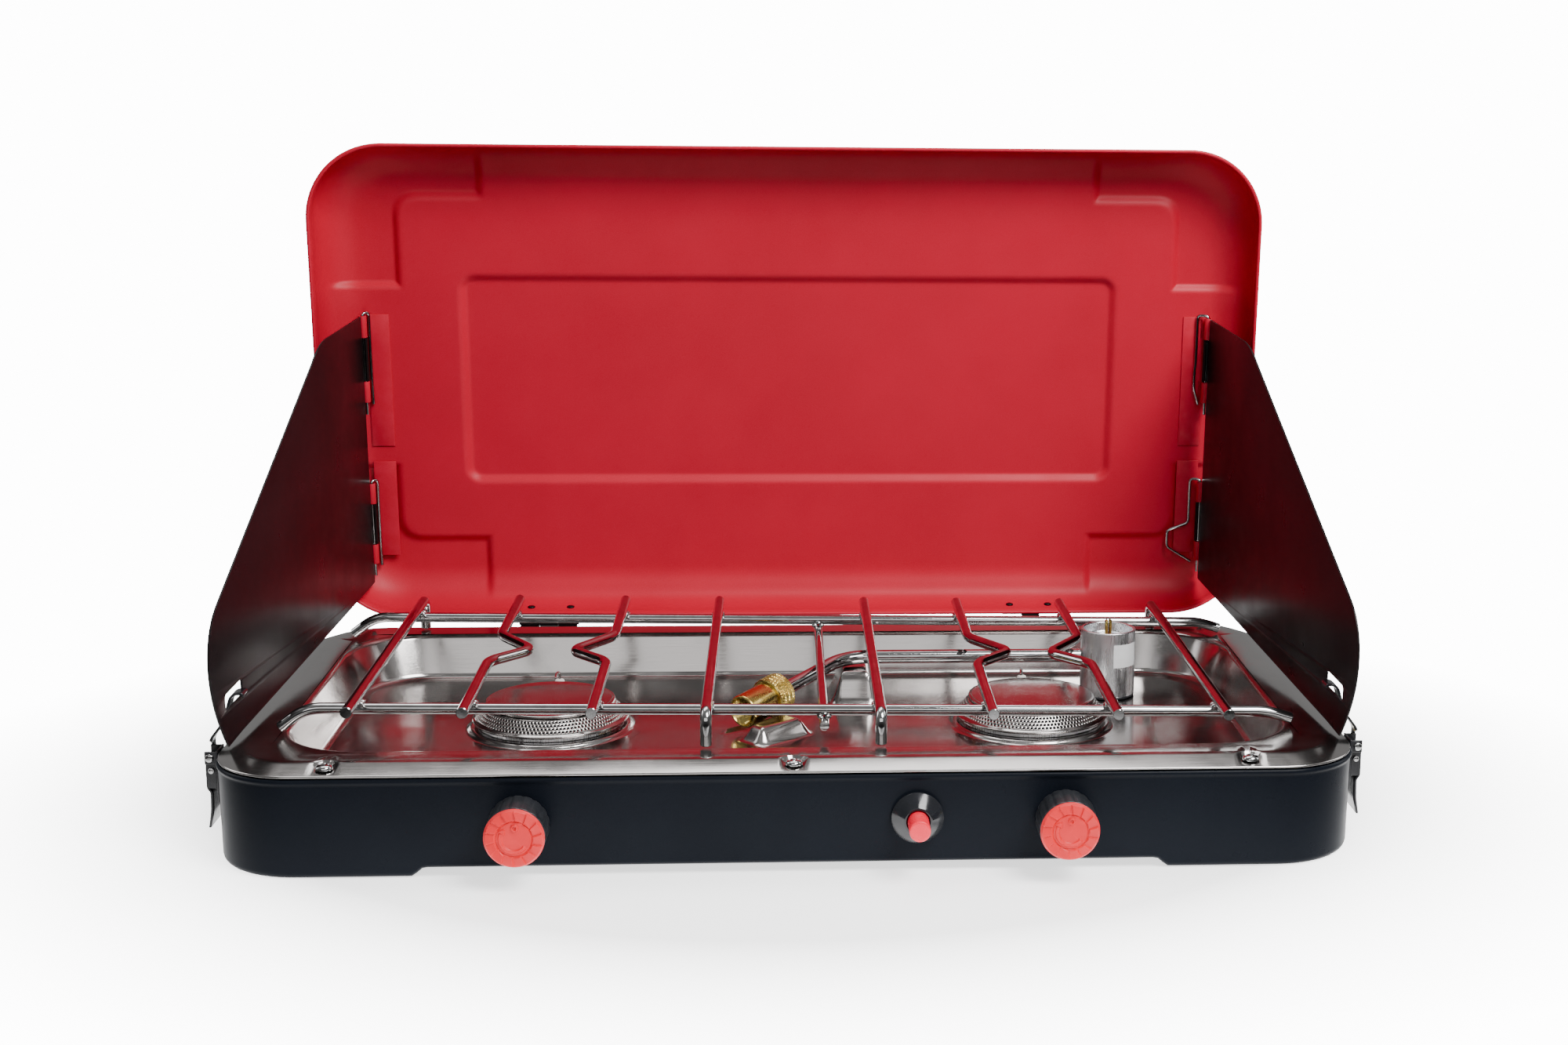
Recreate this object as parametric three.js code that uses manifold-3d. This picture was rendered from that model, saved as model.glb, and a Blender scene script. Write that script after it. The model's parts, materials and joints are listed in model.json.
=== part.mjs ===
import * as THREE from 'three';
import { mergeVertices } from 'three/addons/utils/BufferGeometryUtils.js';
import Module from 'manifold-3d';

// Two burner camp stove, open for cooking.  Millimetres, X right, Y back, Z up.
// The origin is on the table, under the middle of the whole model's box.

// ---------------------------------------------------------------- driving sizes
const BASE = { w: 583, y: 0.5, d: 296, h: 51.6, corner: 44.5, wall: 1.2, floor: 6, bend: 4, draft: 1.4 };
const FOOT = { height: 4.5, x: 190, halfDepth: 96, flank: 3.5 };
const TRAY = { w: 581.4, y: 1.2, d: 294.6, corner: 44, lip: 52, crest: 57.4, edge: 55.9, floor: 30, t: 0.8 };
const RECESS = { x: 263, front: 35, rear: 272, corner: 46, slope: 8 };
const LID = { w: 576, h: 294, depth: 32, corner: 46, wall: 1, bend: 24, lean: 4 };
const LID_AXIS = { y: 302, z: 55 };
const LID_GAP = { up: 3.5, back: 1 };
const BURNER = { x: 136.5, y: 160, collar: 46, ring: 42.4, cap: 36, neck: 34, spark: 50.5 };
const KNOB = { x: 135.5, z: 28.7, r: 15.4, front: -24.4 };
const IGNITER = { x: 61.5, z: 29.2 };
const WIRE = { r: 3, z: 73.5, front: 33, rear: 279, railFront: 63, railRear: 258, legs: 58.2 };
const GRATE_SLANT = -0.0122;
const ROD_X = [224.5, 167, 102.4, 44.7];
const WING = { pinX: 262, pinDepth: 23, flare: 4.7, t: 1 };
const LATCH = { y: 54, pivotX: 296, pivotZ: 49.5, drop: 7.4 };
const SCREW = { x: [-231, 0, 231], y: 8.8, seat: 54.7, pocket: 6 };
const CAPSULE = { x: 189, y: 218, r: 16.3, bottom: 31.2, top: 71 };
const PIPE = { r: 4.1, bend: [31, 218, 54] };
const NUT = { end: [-28.3, 143.4, 42.4], r: 9.6, bore: 7.2, barrel: 22, knurl: 11.5, length: 34 };
const INLET = { y: 120, z: 24 };
const GAP = 0.3;

// A point on the regulator's coupling nut's axis, by its distance from the open end.
function alongNut(distance) {
  const from = new THREE.Vector3(...NUT.end);
  const to = new THREE.Vector3(...PIPE.bend).sub(from).normalize();
  return from.addScaledVector(to, distance).toArray();
}

// ---------------------------------------------------------------- materials
const paint = (color, roughness, metalness) =>
  new THREE.MeshStandardMaterial({ color, roughness, metalness });
const BLACK_PAINT = paint(0x10141b, 0.35, 0.2);
const BLACK_STEEL = paint(0x141215, 0.4, 0.4);
const RED_PAINT = paint(0xb01525, 0.5, 0.1);
const STAINLESS = paint(0xb9b4ae, 0.3, 1);
const NICKEL = paint(0xc8c8c8, 0.15, 1);
const ALUMINIUM = paint(0xb4b6b8, 0.35, 1);
const BRASS = paint(0xc9a24a, 0.3, 1);
const BLACK_PLASTIC = paint(0x17181b, 0.5, 0);
const RED_PLASTIC = paint(0xe5484a, 0.5, 0);
const CERAMIC = paint(0xf1efe8, 0.4, 0);

// ---------------------------------------------------------------- solids
const wasm = await Module();
wasm.setup();

function toSolid(geometry) {
  const bare = geometry.clone();
  bare.deleteAttribute('normal');
  bare.deleteAttribute('uv');
  const merged = mergeVertices(bare, 1e-4);
  return new wasm.Manifold(new wasm.Mesh({
    numProp: 3,
    vertProperties: new Float32Array(merged.attributes.position.array),
    triVerts: new Uint32Array(merged.index.array),
  }));
}

function toGeometry(solid) {
  const data = solid.getMesh();
  const geometry = new THREE.BufferGeometry();
  geometry.setAttribute('position', new THREE.BufferAttribute(data.vertProperties, 3));
  geometry.setIndex(new THREE.BufferAttribute(data.triVerts, 1));
  return geometry;
}

function join(...geometries) {
  return toGeometry(geometries.map(toSolid).reduce((a, b) => a.add(b)));
}

function cut(body, ...tools) {
  return toGeometry(tools.reduce((solid, tool) => solid.subtract(toSolid(tool)), toSolid(body)));
}

const box = (x0, x1, y0, y1, z0, z1) =>
  new THREE.BoxGeometry(x1 - x0, y1 - y0, z1 - z0)
    .translate((x0 + x1) / 2, (y0 + y1) / 2, (z0 + z1) / 2);

// A solid of revolution about Z from a closed or axis-to-axis profile of [radius, z].
const lathe = (profile, sides = 32) =>
  new THREE.LatheGeometry(profile.map(([r, z]) => new THREE.Vector2(r, z)), sides).rotateX(Math.PI / 2);

// The same about an axis along Y: the profile's second number runs towards the front (-Y).
const latheAlongY = (profile, sides = 32) => lathe(profile, sides).rotateX(Math.PI / 2);

const rod = (r, from, to, sides = 16) => {
  const a = new THREE.Vector3(...from);
  const b = new THREE.Vector3(...to);
  const along = b.clone().sub(a).normalize();
  const turn = new THREE.Quaternion().setFromUnitVectors(new THREE.Vector3(0, 1, 0), along);
  return new THREE.CylinderGeometry(r, r, a.distanceTo(b), sides)
    .applyQuaternion(turn).translate(...a.add(b).multiplyScalar(0.5).toArray());
};

// Straight runs joined by arcs, for bent wire and pipe.
function bentPath(points, bend) {
  const path = new THREE.CurvePath();
  const p = points.map((q) => new THREE.Vector3(...q));
  let start = p[0];
  for (let i = 1; i < p.length - 1; i += 1) {
    const before = p[i].clone().add(start.clone().sub(p[i]).setLength(bend));
    const after = p[i].clone().add(p[i + 1].clone().sub(p[i]).setLength(bend));
    path.add(new THREE.LineCurve3(start, before));
    path.add(new THREE.QuadraticBezierCurve3(before, p[i], after));
    start = after;
  }
  path.add(new THREE.LineCurve3(start, p[p.length - 1]));
  return path;
}

// Sweeps a round section along a bent path, with rings only where the path bends.
function bentWire(points, r, bend, sides = 8, arcSteps = 3) {
  const path = bentPath(points, bend);
  const stations = [];
  path.curves.forEach((curve, i) => {
    const steps = curve.isLineCurve3 ? 1 : arcSteps;
    for (let k = i === 0 ? 0 : 1; k <= steps; k += 1) {
      stations.push({ at: curve.getPoint(k / steps), along: curve.getTangent(k / steps) });
    }
  });
  return sweepRings(stations, r, sides);
}

function sweepRings(stations, r, sides) {
  const position = [];
  const index = [];
  let side = new THREE.Vector3(0.31, 0.17, 0.93);
  stations.forEach(({ at, along }) => {
    side = side.clone().sub(along.clone().multiplyScalar(side.dot(along))).normalize();
    const other = along.clone().cross(side);
    for (let k = 0; k < sides; k += 1) {
      const a = (k / sides) * 2 * Math.PI;
      const out = side.clone().multiplyScalar(Math.cos(a)).addScaledVector(other, Math.sin(a));
      position.push(...out.multiplyScalar(r).add(at).toArray());
    }
  });
  const last = stations.length - 1;
  for (let i = 0; i < last; i += 1) {
    for (let k = 0; k < sides; k += 1) {
      const a = i * sides + k;
      const b = i * sides + ((k + 1) % sides);
      index.push(a, b, b + sides, a, b + sides, a + sides);
    }
  }
  for (let k = 1; k < sides - 1; k += 1) {
    index.push(0, k + 1, k);
    index.push(last * sides, last * sides + k, last * sides + k + 1);
  }
  const geometry = new THREE.BufferGeometry();
  geometry.setAttribute('position', new THREE.Float32BufferAttribute(position, 3));
  geometry.setIndex(index);
  return geometry;
}

// Rounded rectangles stacked into a closed skin: each ring is {x, y0, y1, r, z}, its half
// width, its front and back, its corner radius and its height.  Both ends are capped.
function ringStack(rings, cornerSteps = 6) {
  const position = [];
  const index = [];
  const corners = [[1, 0, 0], [1, 1, 90], [-1, 1, 180], [-1, 0, 270]];
  rings.forEach(({ x, y0, y1, r, z }) => {
    corners.forEach(([sx, back, from]) => {
      const cx = sx * (x - r);
      const cy = back ? y1 - r : y0 + r;
      for (let k = 0; k <= cornerSteps; k += 1) {
        const a = THREE.MathUtils.degToRad(from - 90 + (90 * k) / cornerSteps);
        position.push(cx + r * Math.cos(a), cy + r * Math.sin(a), z);
      }
    });
  });
  const n = corners.length * (cornerSteps + 1);
  const last = rings.length - 1;
  for (let i = 0; i < last; i += 1) {
    for (let k = 0; k < n; k += 1) {
      const a = i * n + k;
      const b = i * n + ((k + 1) % n);
      index.push(a, b, b + n, a, b + n, a + n);
    }
  }
  for (let k = 1; k < n - 1; k += 1) {
    index.push(0, k + 1, k);
    index.push(last * n, last * n + k, last * n + k + 1);
  }
  const geometry = new THREE.BufferGeometry();
  geometry.setAttribute('position', new THREE.Float32BufferAttribute(position, 3));
  geometry.setIndex(index);
  return geometry;
}

// A strip of sheet bent along a line in the XZ plane, as wide as y0 to y1.
function bentStrip(points, t, y0, y1) {
  const p = points.map(([x, z]) => new THREE.Vector2(x, z));
  const normals = p.map((q, i) => {
    const a = p[Math.max(i - 1, 0)];
    const b = p[Math.min(i + 1, p.length - 1)];
    const along = b.clone().sub(a).normalize();
    return new THREE.Vector2(-along.y, along.x).multiplyScalar(t / 2);
  });
  const outline = [
    ...p.map((q, i) => q.clone().add(normals[i])),
    ...p.map((q, i) => q.clone().sub(normals[i])).reverse(),
  ];
  return new THREE.ExtrudeGeometry(new THREE.Shape(outline), { depth: y1 - y0, bevelEnabled: false })
    .rotateX(Math.PI / 2).translate(0, y1, 0);
}

// A frustum with a rectangular foot, for the pressed supports in the tray.
function frustum(x0, x1, y0, y1, z0, z1, slope) {
  const shape = new THREE.BoxGeometry(1, 1, 1);
  const at = shape.attributes.position;
  for (let i = 0; i < at.count; i += 1) {
    const s = at.getZ(i) > 0 ? slope : 0;
    at.setXYZ(
      i,
      at.getX(i) > 0 ? x1 - s : x0 + s,
      at.getY(i) > 0 ? y1 - s : y0 + s,
      at.getZ(i) > 0 ? z1 : z0,
    );
  }
  return shape;
}

const stove = new THREE.Group();

function add(parent, name, geometry, material) {
  const mesh = new THREE.Mesh(geometry, material);
  mesh.name = name;
  parent.add(mesh);
  return mesh;
}

const SIDES = [['left', -1], ['right', 1]];

// ---------------------------------------------------------------- base pan
function basePan() {
  const ring = (inset, z) => ({
    x: BASE.w / 2 - inset, y0: BASE.y + inset, y1: BASE.y + BASE.d - inset, r: BASE.corner - inset * 0.9, z,
  });
  const skin = (offset, floor) => {
    const rings = [];
    const steps = 4;
    for (let k = 0; k <= steps; k += 1) {
      const a = (k / steps) * (Math.PI / 2);
      const inset = BASE.draft + offset + BASE.bend * (1 - Math.sin(a));
      rings.push(ring(inset, floor + BASE.bend * (1 - Math.cos(a))));
    }
    return [...rings, ring(offset, BASE.h)];
  };
  const shell = ringStack([...skin(0, 0), ...skin(BASE.wall, BASE.floor).reverse()]);
  const midY = BASE.y + BASE.d / 2;
  const feet = [
    frustum(-FOOT.x, FOOT.x, -10, 320, -20, FOOT.height, FOOT.flank),
    frustum(-320, 320, midY - FOOT.halfDepth, midY + FOOT.halfDepth, -20, FOOT.height, FOOT.flank),
  ];
  const holes = SIDES.map(([, s]) => rod(4.4, [s * KNOB.x, -5, KNOB.z], [s * KNOB.x, 6, KNOB.z]));
  holes.push(rod(9, [IGNITER.x, -5, IGNITER.z], [IGNITER.x, 6, IGNITER.z], 24));
  holes.push(rod(6.2, [280, INLET.y, INLET.z], [300, INLET.y, INLET.z]));
  return cut(shell, ...feet, ...holes);
}
add(stove, 'base_pan', basePan(), BLACK_PAINT);

// ---------------------------------------------------------------- drip tray
function dripTray() {
  const { t, lip, crest, edge, floor } = TRAY;
  const outer = (inset, z) => ({
    x: TRAY.w / 2 - inset, y0: TRAY.y + inset, y1: TRAY.y + TRAY.d - inset, r: TRAY.corner - inset, z,
  });
  const inner = (inset, z) => ({
    x: RECESS.x - inset, y0: RECESS.front + inset, y1: RECESS.rear - inset, r: RECESS.corner - inset * 0.5, z,
  });
  const under = [
    inner(RECESS.slope + 4 + t, floor - t), inner(RECESS.slope + t, floor + 3 - t), inner(2, edge - 4 - t),
    inner(-1.5, edge - t), outer(12.5, crest - t), outer(2.6, lip + 1.8), outer(t, lip + 0.6), outer(t, lip),
  ];
  const over = [
    outer(0, lip), outer(0, lip + 1.2), outer(1.6, lip + 2.4), outer(12, crest), inner(-1, edge),
    inner(2 + t, edge - 4), inner(RECESS.slope + t * 1.5, floor + 3), inner(RECESS.slope + 4, floor),
  ];
  const sheet = ringStack([...under, ...over]);
  const openings = SIDES.flatMap(([, s]) => [
    rod(36, [s * BURNER.x, BURNER.y, 20], [s * BURNER.x, BURNER.y, 40], 28),
    rod(3.6, [s * BURNER.x, BURNER.y + BURNER.spark, 20], [s * BURNER.x, BURNER.y + BURNER.spark, 40], 12),
  ]);
  const collars = SIDES.map(([, s]) => burnerCollar().translate(s * BURNER.x, BURNER.y, 0));
  const rests = [regulatorRest(...FRONT_REST), regulatorRest(...REAR_REST)];
  const seats = SCREW.x.map((x) => screwSeat(x));
  const body = join(cut(sheet, ...openings), ...collars, ...rests.map(({ raised }) => raised), ...seats);
  const pockets = SCREW.x.map((x) => rod(SCREW.pocket, [x, SCREW.y, SCREW.seat], [x, SCREW.y, 70], 18));
  const holes = SCREW.x.map((x) => rod(2.6, [x, SCREW.y, 45], [x, SCREW.y, 62], 12));
  return cut(body, ...rests.map(({ hollow }) => hollow), ...pockets, ...holes);
}

function burnerCollar() {
  return lathe([
    [35, 28.8], [36, 32.2], [42, 32.2], [BURNER.collar, 29.4], [BURNER.collar, TRAY.floor],
    [42.6, 33], [35, 33], [35, 28.8],
  ], 28);
}

// A pressed rest for the stowed regulator: its middle, half width, half depth, top, flank and turn.
const FRONT_REST = [-14.6, 142.5, 20, 19, 39, 8, 40];
const REAR_REST = [37, 218, 15, 22, 49, 9, 0];
function regulatorRest(x, y, halfX, halfY, top, flank, turn) {
  const put = (shape) => shape.rotateZ(THREE.MathUtils.degToRad(turn)).translate(x, y, 0);
  const { t, floor } = TRAY;
  const saddle = (r) => rod(r, alongNut(-30), alongNut(60), 18);
  const outside = frustum(-halfX, halfX, -halfY, halfY, floor - t, top, flank);
  const inside = frustum(1 - halfX, halfX - 1, 1 - halfY, halfY - 1, floor - 3, top - t, flank);
  return {
    raised: cut(put(outside), saddle(NUT.knurl + 0.6)),
    hollow: cut(put(inside), saddle(NUT.knurl + 1.6)),
  };
}

// A round pocket pressed in the sloping front flange, as deep as its screw's head.
function screwSeat(x) {
  const slope = Math.atan2(TRAY.crest - TRAY.lip - 2.4, 10.4);
  const above = box(-20, 20, 0, 40, 0, 20).rotateX(slope).translate(x, TRAY.y + 1.6, TRAY.lip + 2.4);
  return cut(rod(SCREW.pocket + 0.8, [x, SCREW.y, SCREW.seat - 0.8], [x, SCREW.y, 60], 18), above);
}
add(stove, 'drip_tray', dripTray(), STAINLESS);

function trayScrew() {
  const head = SCREW.seat + GAP;
  return lathe([
    [0, 42], [2.2, 42], [2.2, head], [4.6, head], [4.1, head + 1.4], [2.4, head + 2.2], [0, head + 2.4],
  ], 14);
}
['left', 'middle', 'right'].forEach((side, i) => {
  add(stove, `tray_screw_${side}`, trayScrew(), NICKEL).position.set(SCREW.x[i], SCREW.y, 0);
});

// ---------------------------------------------------------------- grate
// The grate sits a little askew: its wires lie lower towards the right.
const wireZ = (x) => WIRE.z + GRATE_SLANT * x;
const railZ = (x) => wireZ(x) - 2 * WIRE.r - GAP;
function rail(y) {
  const end = [264.3, y, 60];
  const path = [[-end[0], end[1], end[2]], [-251, y, railZ(-251)], [251, y, railZ(251)], end];
  return bentWire(path, WIRE.r, 8);
}
function plainRod(x) {
  return [[x, WIRE.front, wireZ(x)], [x, WIRE.rear, wireZ(x)], [x, WIRE.rear, WIRE.legs]];
}
function frontLegRod(x) {
  return [[x, WIRE.front + 2, 56.8], [x, WIRE.front + 2, wireZ(x)], [x, WIRE.rear + 1, wireZ(x)]];
}
function kinkedRod(x, towards) {
  const tip = x + towards * 21;
  const z = wireZ(x);
  return [
    [x, WIRE.front, z], [x, BURNER.y - 27, z], [tip, BURNER.y - 2, z],
    [x, BURNER.y + 31, z], [x, WIRE.rear + 1, z],
  ];
}
function grate() {
  add(stove, 'grate_rail_front', rail(WIRE.railFront), NICKEL);
  add(stove, 'grate_rail_rear', rail(WIRE.railRear), NICKEL);
  const brace = { x: 16, r: 2.6, z: railZ(16) - WIRE.r - 2.6 - GAP };
  const ends = [53, 263].map((y) => [brace.x, y, brace.z]);
  add(stove, 'grate_brace', rod(brace.r, ...ends, 10), NICKEL);
  SIDES.forEach(([side, s]) => {
    const [outer, second, third, inner] = ROD_X.map((x) => s * x);
    const rods = [plainRod(outer), kinkedRod(second, -s), kinkedRod(third, s), frontLegRod(inner)];
    rods.forEach((path, i) => {
      add(stove, `grate_rod_${side}_${i + 1}`, bentWire(path, WIRE.r, 7), NICKEL);
    });
  });
}
grate();

// ---------------------------------------------------------------- burners
function burnerBody() {
  const cup = lathe([
    [0, 9], [30, 9], [BURNER.neck, 14], [BURNER.neck, 33.3], [41, 33.3], [41, 34.9], [31.5, 34.9],
    [31.5, 15], [28.5, 11.5], [0, 11.5],
  ], 24);
  const tube = rod(7.5, [0, -126, 18.2], [0, -32.5, 18.2], 12);
  const bore = rod(6, [0, -130, 18.2], [0, -29, 18.2], 12);
  return cut(join(cup, tube), bore);
}
const flameRing = () => lathe([
  [BURNER.ring, 35.3], [BURNER.ring, 37.2], [36.4, 44.2], [34.6, 44.2], [40.4, 36.6], [40.4, 35.3],
  [BURNER.ring, 35.3],
], 28);
const burnerCap = () => lathe([
  [0, 38], [29, 38], [29, 44.5], [BURNER.cap, 44.5], [BURNER.cap + 0.4, 45.6], [BURNER.cap - 0.6, 46.8],
  [0, 47],
], 28);
const electrode = () => join(
  lathe([[0, 16], [2.9, 16], [2.9, 42], [1.8, 44], [0, 44]], 12),
  bentWire([[0, 0, 43], [0, 0, 48.6], [0, -9, 47.6]], 0.7, 1.5, 6, 2),
);
SIDES.forEach(([side, s]) => {
  const burner = new THREE.Group();
  burner.position.set(s * BURNER.x, BURNER.y, 0);
  stove.add(burner);
  add(burner, `burner_body_${side}`, burnerBody(), ALUMINIUM);
  add(burner, `burner_ring_${side}`, flameRing(), STAINLESS);
  add(burner, `burner_cap_${side}`, burnerCap(), STAINLESS);
  add(burner, `igniter_electrode_${side}`, electrode(), CERAMIC).position.y = BURNER.spark;
});

// ---------------------------------------------------------------- gas train in the base
function gasManifold() {
  const path = [[277, INLET.y - 8, INLET.z], [277, 60, 14.5], [277, 22, 14.5], [-150, 22, 14.5]];
  const tube = bentWire(path, 3.5, 10, 10);
  const valves = SIDES.map(([, s]) => join(
    box(s * KNOB.x - 8, s * KNOB.x + 8, 10, 27, 17, 36),
    rod(3, [s * KNOB.x, 25, 18.2], [s * KNOB.x, 33, 18.2], 12),
  ));
  const seats = SIDES.map(([, s]) => rod(3.3, [s * KNOB.x, 0, KNOB.z], [s * KNOB.x, 18, KNOB.z], 16));
  return cut(join(tube, ...valves), ...seats);
}
add(stove, 'gas_manifold', gasManifold(), BRASS);
function inletFitting() {
  const along = (r, x0, x1, sides) => rod(r, [x0, INLET.y, INLET.z], [x1, INLET.y, INLET.z], sides);
  const body = join(along(5.8, 270, 299, 20), along(8.5, 292.6, 296, 6), along(8.5, 279, 284, 6));
  return cut(body, along(3, 285, 301, 12));
}
add(stove, 'gas_inlet_fitting', inletFitting(), BRASS);
const valveStem = () => rod(3, [0, 16, 0], [0, -16, 0], 12);
const knobSkirt = () => latheAlongY([
  [0, 17], [3.3, 17], [3.3, 1.4], [KNOB.r - 0.4, 1.4], [KNOB.r, 2.4], [KNOB.r - 0.5, 20.6], [0, 20.6],
], 24);
const knobFace = () => latheAlongY([
  [0, 20.9], [KNOB.r, 20.9], [KNOB.r + 0.3, 21.6], [KNOB.r + 0.2, 23.6], [KNOB.r - 0.6, 24.4], [9.2, 24.4],
  [8.9, 23.9], [8.5, 24.4], [0, 24.4],
], 24);
SIDES.forEach(([side, s]) => {
  add(stove, `valve_stem_${side}`, valveStem(), BRASS).position.set(s * KNOB.x, 0, KNOB.z);
  add(stove, `knob_skirt_${side}`, knobSkirt(), BLACK_PLASTIC).position.set(s * KNOB.x, 0, KNOB.z);
  add(stove, `knob_face_${side}`, knobFace(), RED_PLASTIC).position.set(s * KNOB.x, 0, KNOB.z);
});

// ---------------------------------------------------------------- piezo igniter
const igniterBody = () => latheAlongY([
  [0, -31], [8.4, -31], [8.4, -3], [6.2, -3], [6.2, -17], [0, -17],
], 24);
const igniterBezel = () => latheAlongY([
  [5.9, -0.2], [13.3, -0.2], [13.3, 1.2], [7, 7.4], [5.9, 7.4], [5.9, -0.2],
], 32);
const igniterButton = () => latheAlongY([[0, -6], [5.3, -6], [5.3, 21.2], [4.6, 22], [0, 22]], 24);
[['igniter_body', igniterBody, BLACK_PLASTIC], ['igniter_bezel', igniterBezel, BLACK_PLASTIC],
  ['igniter_button', igniterButton, RED_PLASTIC]].forEach(([name, make, material]) => {
  add(stove, name, make(), material).position.set(IGNITER.x, 0, IGNITER.z);
});

// ---------------------------------------------------------------- regulator, stowed in the tray
function regulator() {
  const { r, bottom, top } = CAPSULE;
  const shell = lathe([
    [0, bottom], [r - 1.5, bottom], [r, bottom + 1.5], [r, top - 0.6], [r - 0.6, top], [13.6, top],
    [13.2, top - 0.4], [13.2, 60], [0, 60],
  ], 24);
  add(stove, 'regulator_capsule', shell, ALUMINIUM).position.set(CAPSULE.x, CAPSULE.y, 0);
  const pin = lathe([[0, 60.3], [5, 60.3], [5, 62], [1.9, 63.5], [1.9, 75.4], [1.3, 76], [0, 76]], 16);
  add(stove, 'regulator_pin', pin, BRASS).position.set(CAPSULE.x, CAPSULE.y, 0);
  const start = [CAPSULE.x - r - GAP, CAPSULE.y, PIPE.bend[2]];
  add(stove, 'regulator_pipe', bentWire([start, PIPE.bend, alongNut(NUT.barrel)], PIPE.r, 14, 10, 4), NICKEL);
  const nut = join(
    rod(NUT.r, alongNut(0), alongNut(NUT.barrel), 16),
    rod(NUT.knurl, alongNut(NUT.barrel - 1), alongNut(NUT.length), 18),
  );
  const bores = [
    rod(NUT.bore, alongNut(-1), alongNut(NUT.barrel - 3), 14),
    rod(PIPE.r + 0.4, alongNut(NUT.barrel - 5), alongNut(NUT.length + 2), 12),
  ];
  add(stove, 'regulator_nut', cut(nut, ...bores), BRASS);
}
regulator();

// ---------------------------------------------------------------- lid
// The lid is drawn shut, then turned open about its hinge axis.
const lid = new THREE.Group();
lid.position.set(0, LID_AXIS.y, LID_AXIS.z);
lid.rotation.x = -THREE.MathUtils.degToRad(90 - LID.lean);
stove.add(lid);

const lidY = (height) => -(LID_GAP.up + height);
function lidShell() {
  const ring = (inset, depth) => ({
    x: LID.w / 2 - inset,
    y0: lidY(LID.h - inset),
    y1: lidY(inset),
    r: LID.corner - inset * 0.75,
    z: LID_GAP.back + depth,
  });
  const skin = (offset) => {
    const rings = [];
    const steps = 5;
    for (let k = 0; k <= steps; k += 1) {
      const a = (k / steps) * (Math.PI / 2);
      const inset = 1.2 + offset + LID.bend * (1 - Math.cos(a));
      rings.push(ring(inset, LID.depth - offset - LID.bend * (1 - Math.sin(a))));
    }
    return rings;
  };
  const bead = [ring(2.4, 0.6), ring(1.3, -0.2), ring(0, 0.8), ring(0, 2.6), ring(1, 3.6)];
  return ringStack([...skin(LID.wall).reverse(), ...bead, ...skin(0)]);
}
add(lid, 'lid_shell', lidShell(), RED_PAINT);

const LID_HINGE = { x: 152, half: 17.5, third: 17.5 / 3, barrel: 2.6, pin: 1.2 };
const hingeBarrel = (x0, x1, r = LID_HINGE.barrel) => rod(r, [x0, 0, 0], [x1, 0, 0], 14);

function baseHingeLeaf() {
  const { half, third, pin } = LID_HINGE;
  const plate = box(-half, half, -4.6, -3.6, -20, -4);
  const ears = [[-half, -third - 0.2], [third + 0.2, half]].map(([x0, x1]) => join(
    hingeBarrel(x0, x1),
    box(x0, x1, -4.6, -1, -5, -1),
  ));
  return join(plate, ...ears, hingeBarrel(-half - 1, half + 1, pin));
}
function lidHingeLeaf() {
  const { half, third, pin } = LID_HINGE;
  const front = -LID_GAP.up + GAP;
  const plate = box(-half, half, front, front + 0.9, 5, 20);
  const tongue = box(0.2 - third, third - 0.2, front, front + 0.9, 0, 6);
  const barrel = hingeBarrel(0.2 - third, third - 0.2);
  return cut(join(plate, tongue, barrel), hingeBarrel(-half, half, pin + GAP));
}
SIDES.forEach(([side, s]) => {
  const base = add(stove, `lid_hinge_base_leaf_${side}`, baseHingeLeaf(), BLACK_STEEL);
  base.position.set(s * LID_HINGE.x, LID_AXIS.y, LID_AXIS.z);
  add(lid, `lid_hinge_lid_leaf_${side}`, lidHingeLeaf(), BLACK_STEEL).position.x = s * LID_HINGE.x;
});

// ---------------------------------------------------------------- windscreens
// Each hinge's knuckles by height up the lid: [lid knuckle, screen knuckle, lid knuckle].
const WING_HINGES = [
  { name: 'lower', leaf: [34, 94], knuckles: [[29, 41.5], [42, 67.5], [68, 81]], bow: 19.8 },
  { name: 'upper', leaf: [104, 187], knuckles: [[133, 146], [146.5, 173], [173.5, 187]], bow: 6.8 },
];
const PIN_Z = LID_GAP.back + WING.pinDepth;
const PANEL_Z = LID_GAP.back + LID.depth - LID.wall;
const LEAF_LIFT = 1.8;
const KNUCKLE_R = 2.5;
const PIN_R = 1.1;

const knuckle = (t0, t1, r = KNUCKLE_R) => rod(r, [0, lidY(t0), 0], [0, lidY(t1), 0], 12);

function screenLeaf(s, { leaf, knuckles }) {
  const rise = PANEL_Z - LEAF_LIFT - PIN_Z;
  const plate = box(Math.min(0, -s * 15), Math.max(0, -s * 15), lidY(leaf[1]), lidY(leaf[0]), rise - 1, rise);
  const parts = [knuckles[0], knuckles[2]].flatMap(([t0, t1]) => [
    knuckle(t0, t1),
    box(-0.6, 0.6, lidY(t1), lidY(Math.max(t0, leaf[0])), 0, rise),
  ]);
  return cut(join(plate, ...parts), knuckle(20, 200, PIN_R + 0.2));
}

function springPin(s, { knuckles, bow }) {
  const low = knuckles[0][0] - 8;
  const high = knuckles[2][1] + 1.5;
  const back = 2.9;
  const [[first], [middle]] = knuckles;
  const path = [
    [0, lidY(low), 0], [0, lidY(high), 0], [-s * 5, lidY(high), back], [-s * 6, lidY(middle + 13), back],
    [-s * bow, lidY(middle + 2), back], [-s * bow, lidY(first + 5), back], [-s * 3.5, lidY(first - 3), back],
  ];
  return bentWire(path, PIN_R, 1.6, 6, 2);
}

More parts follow.
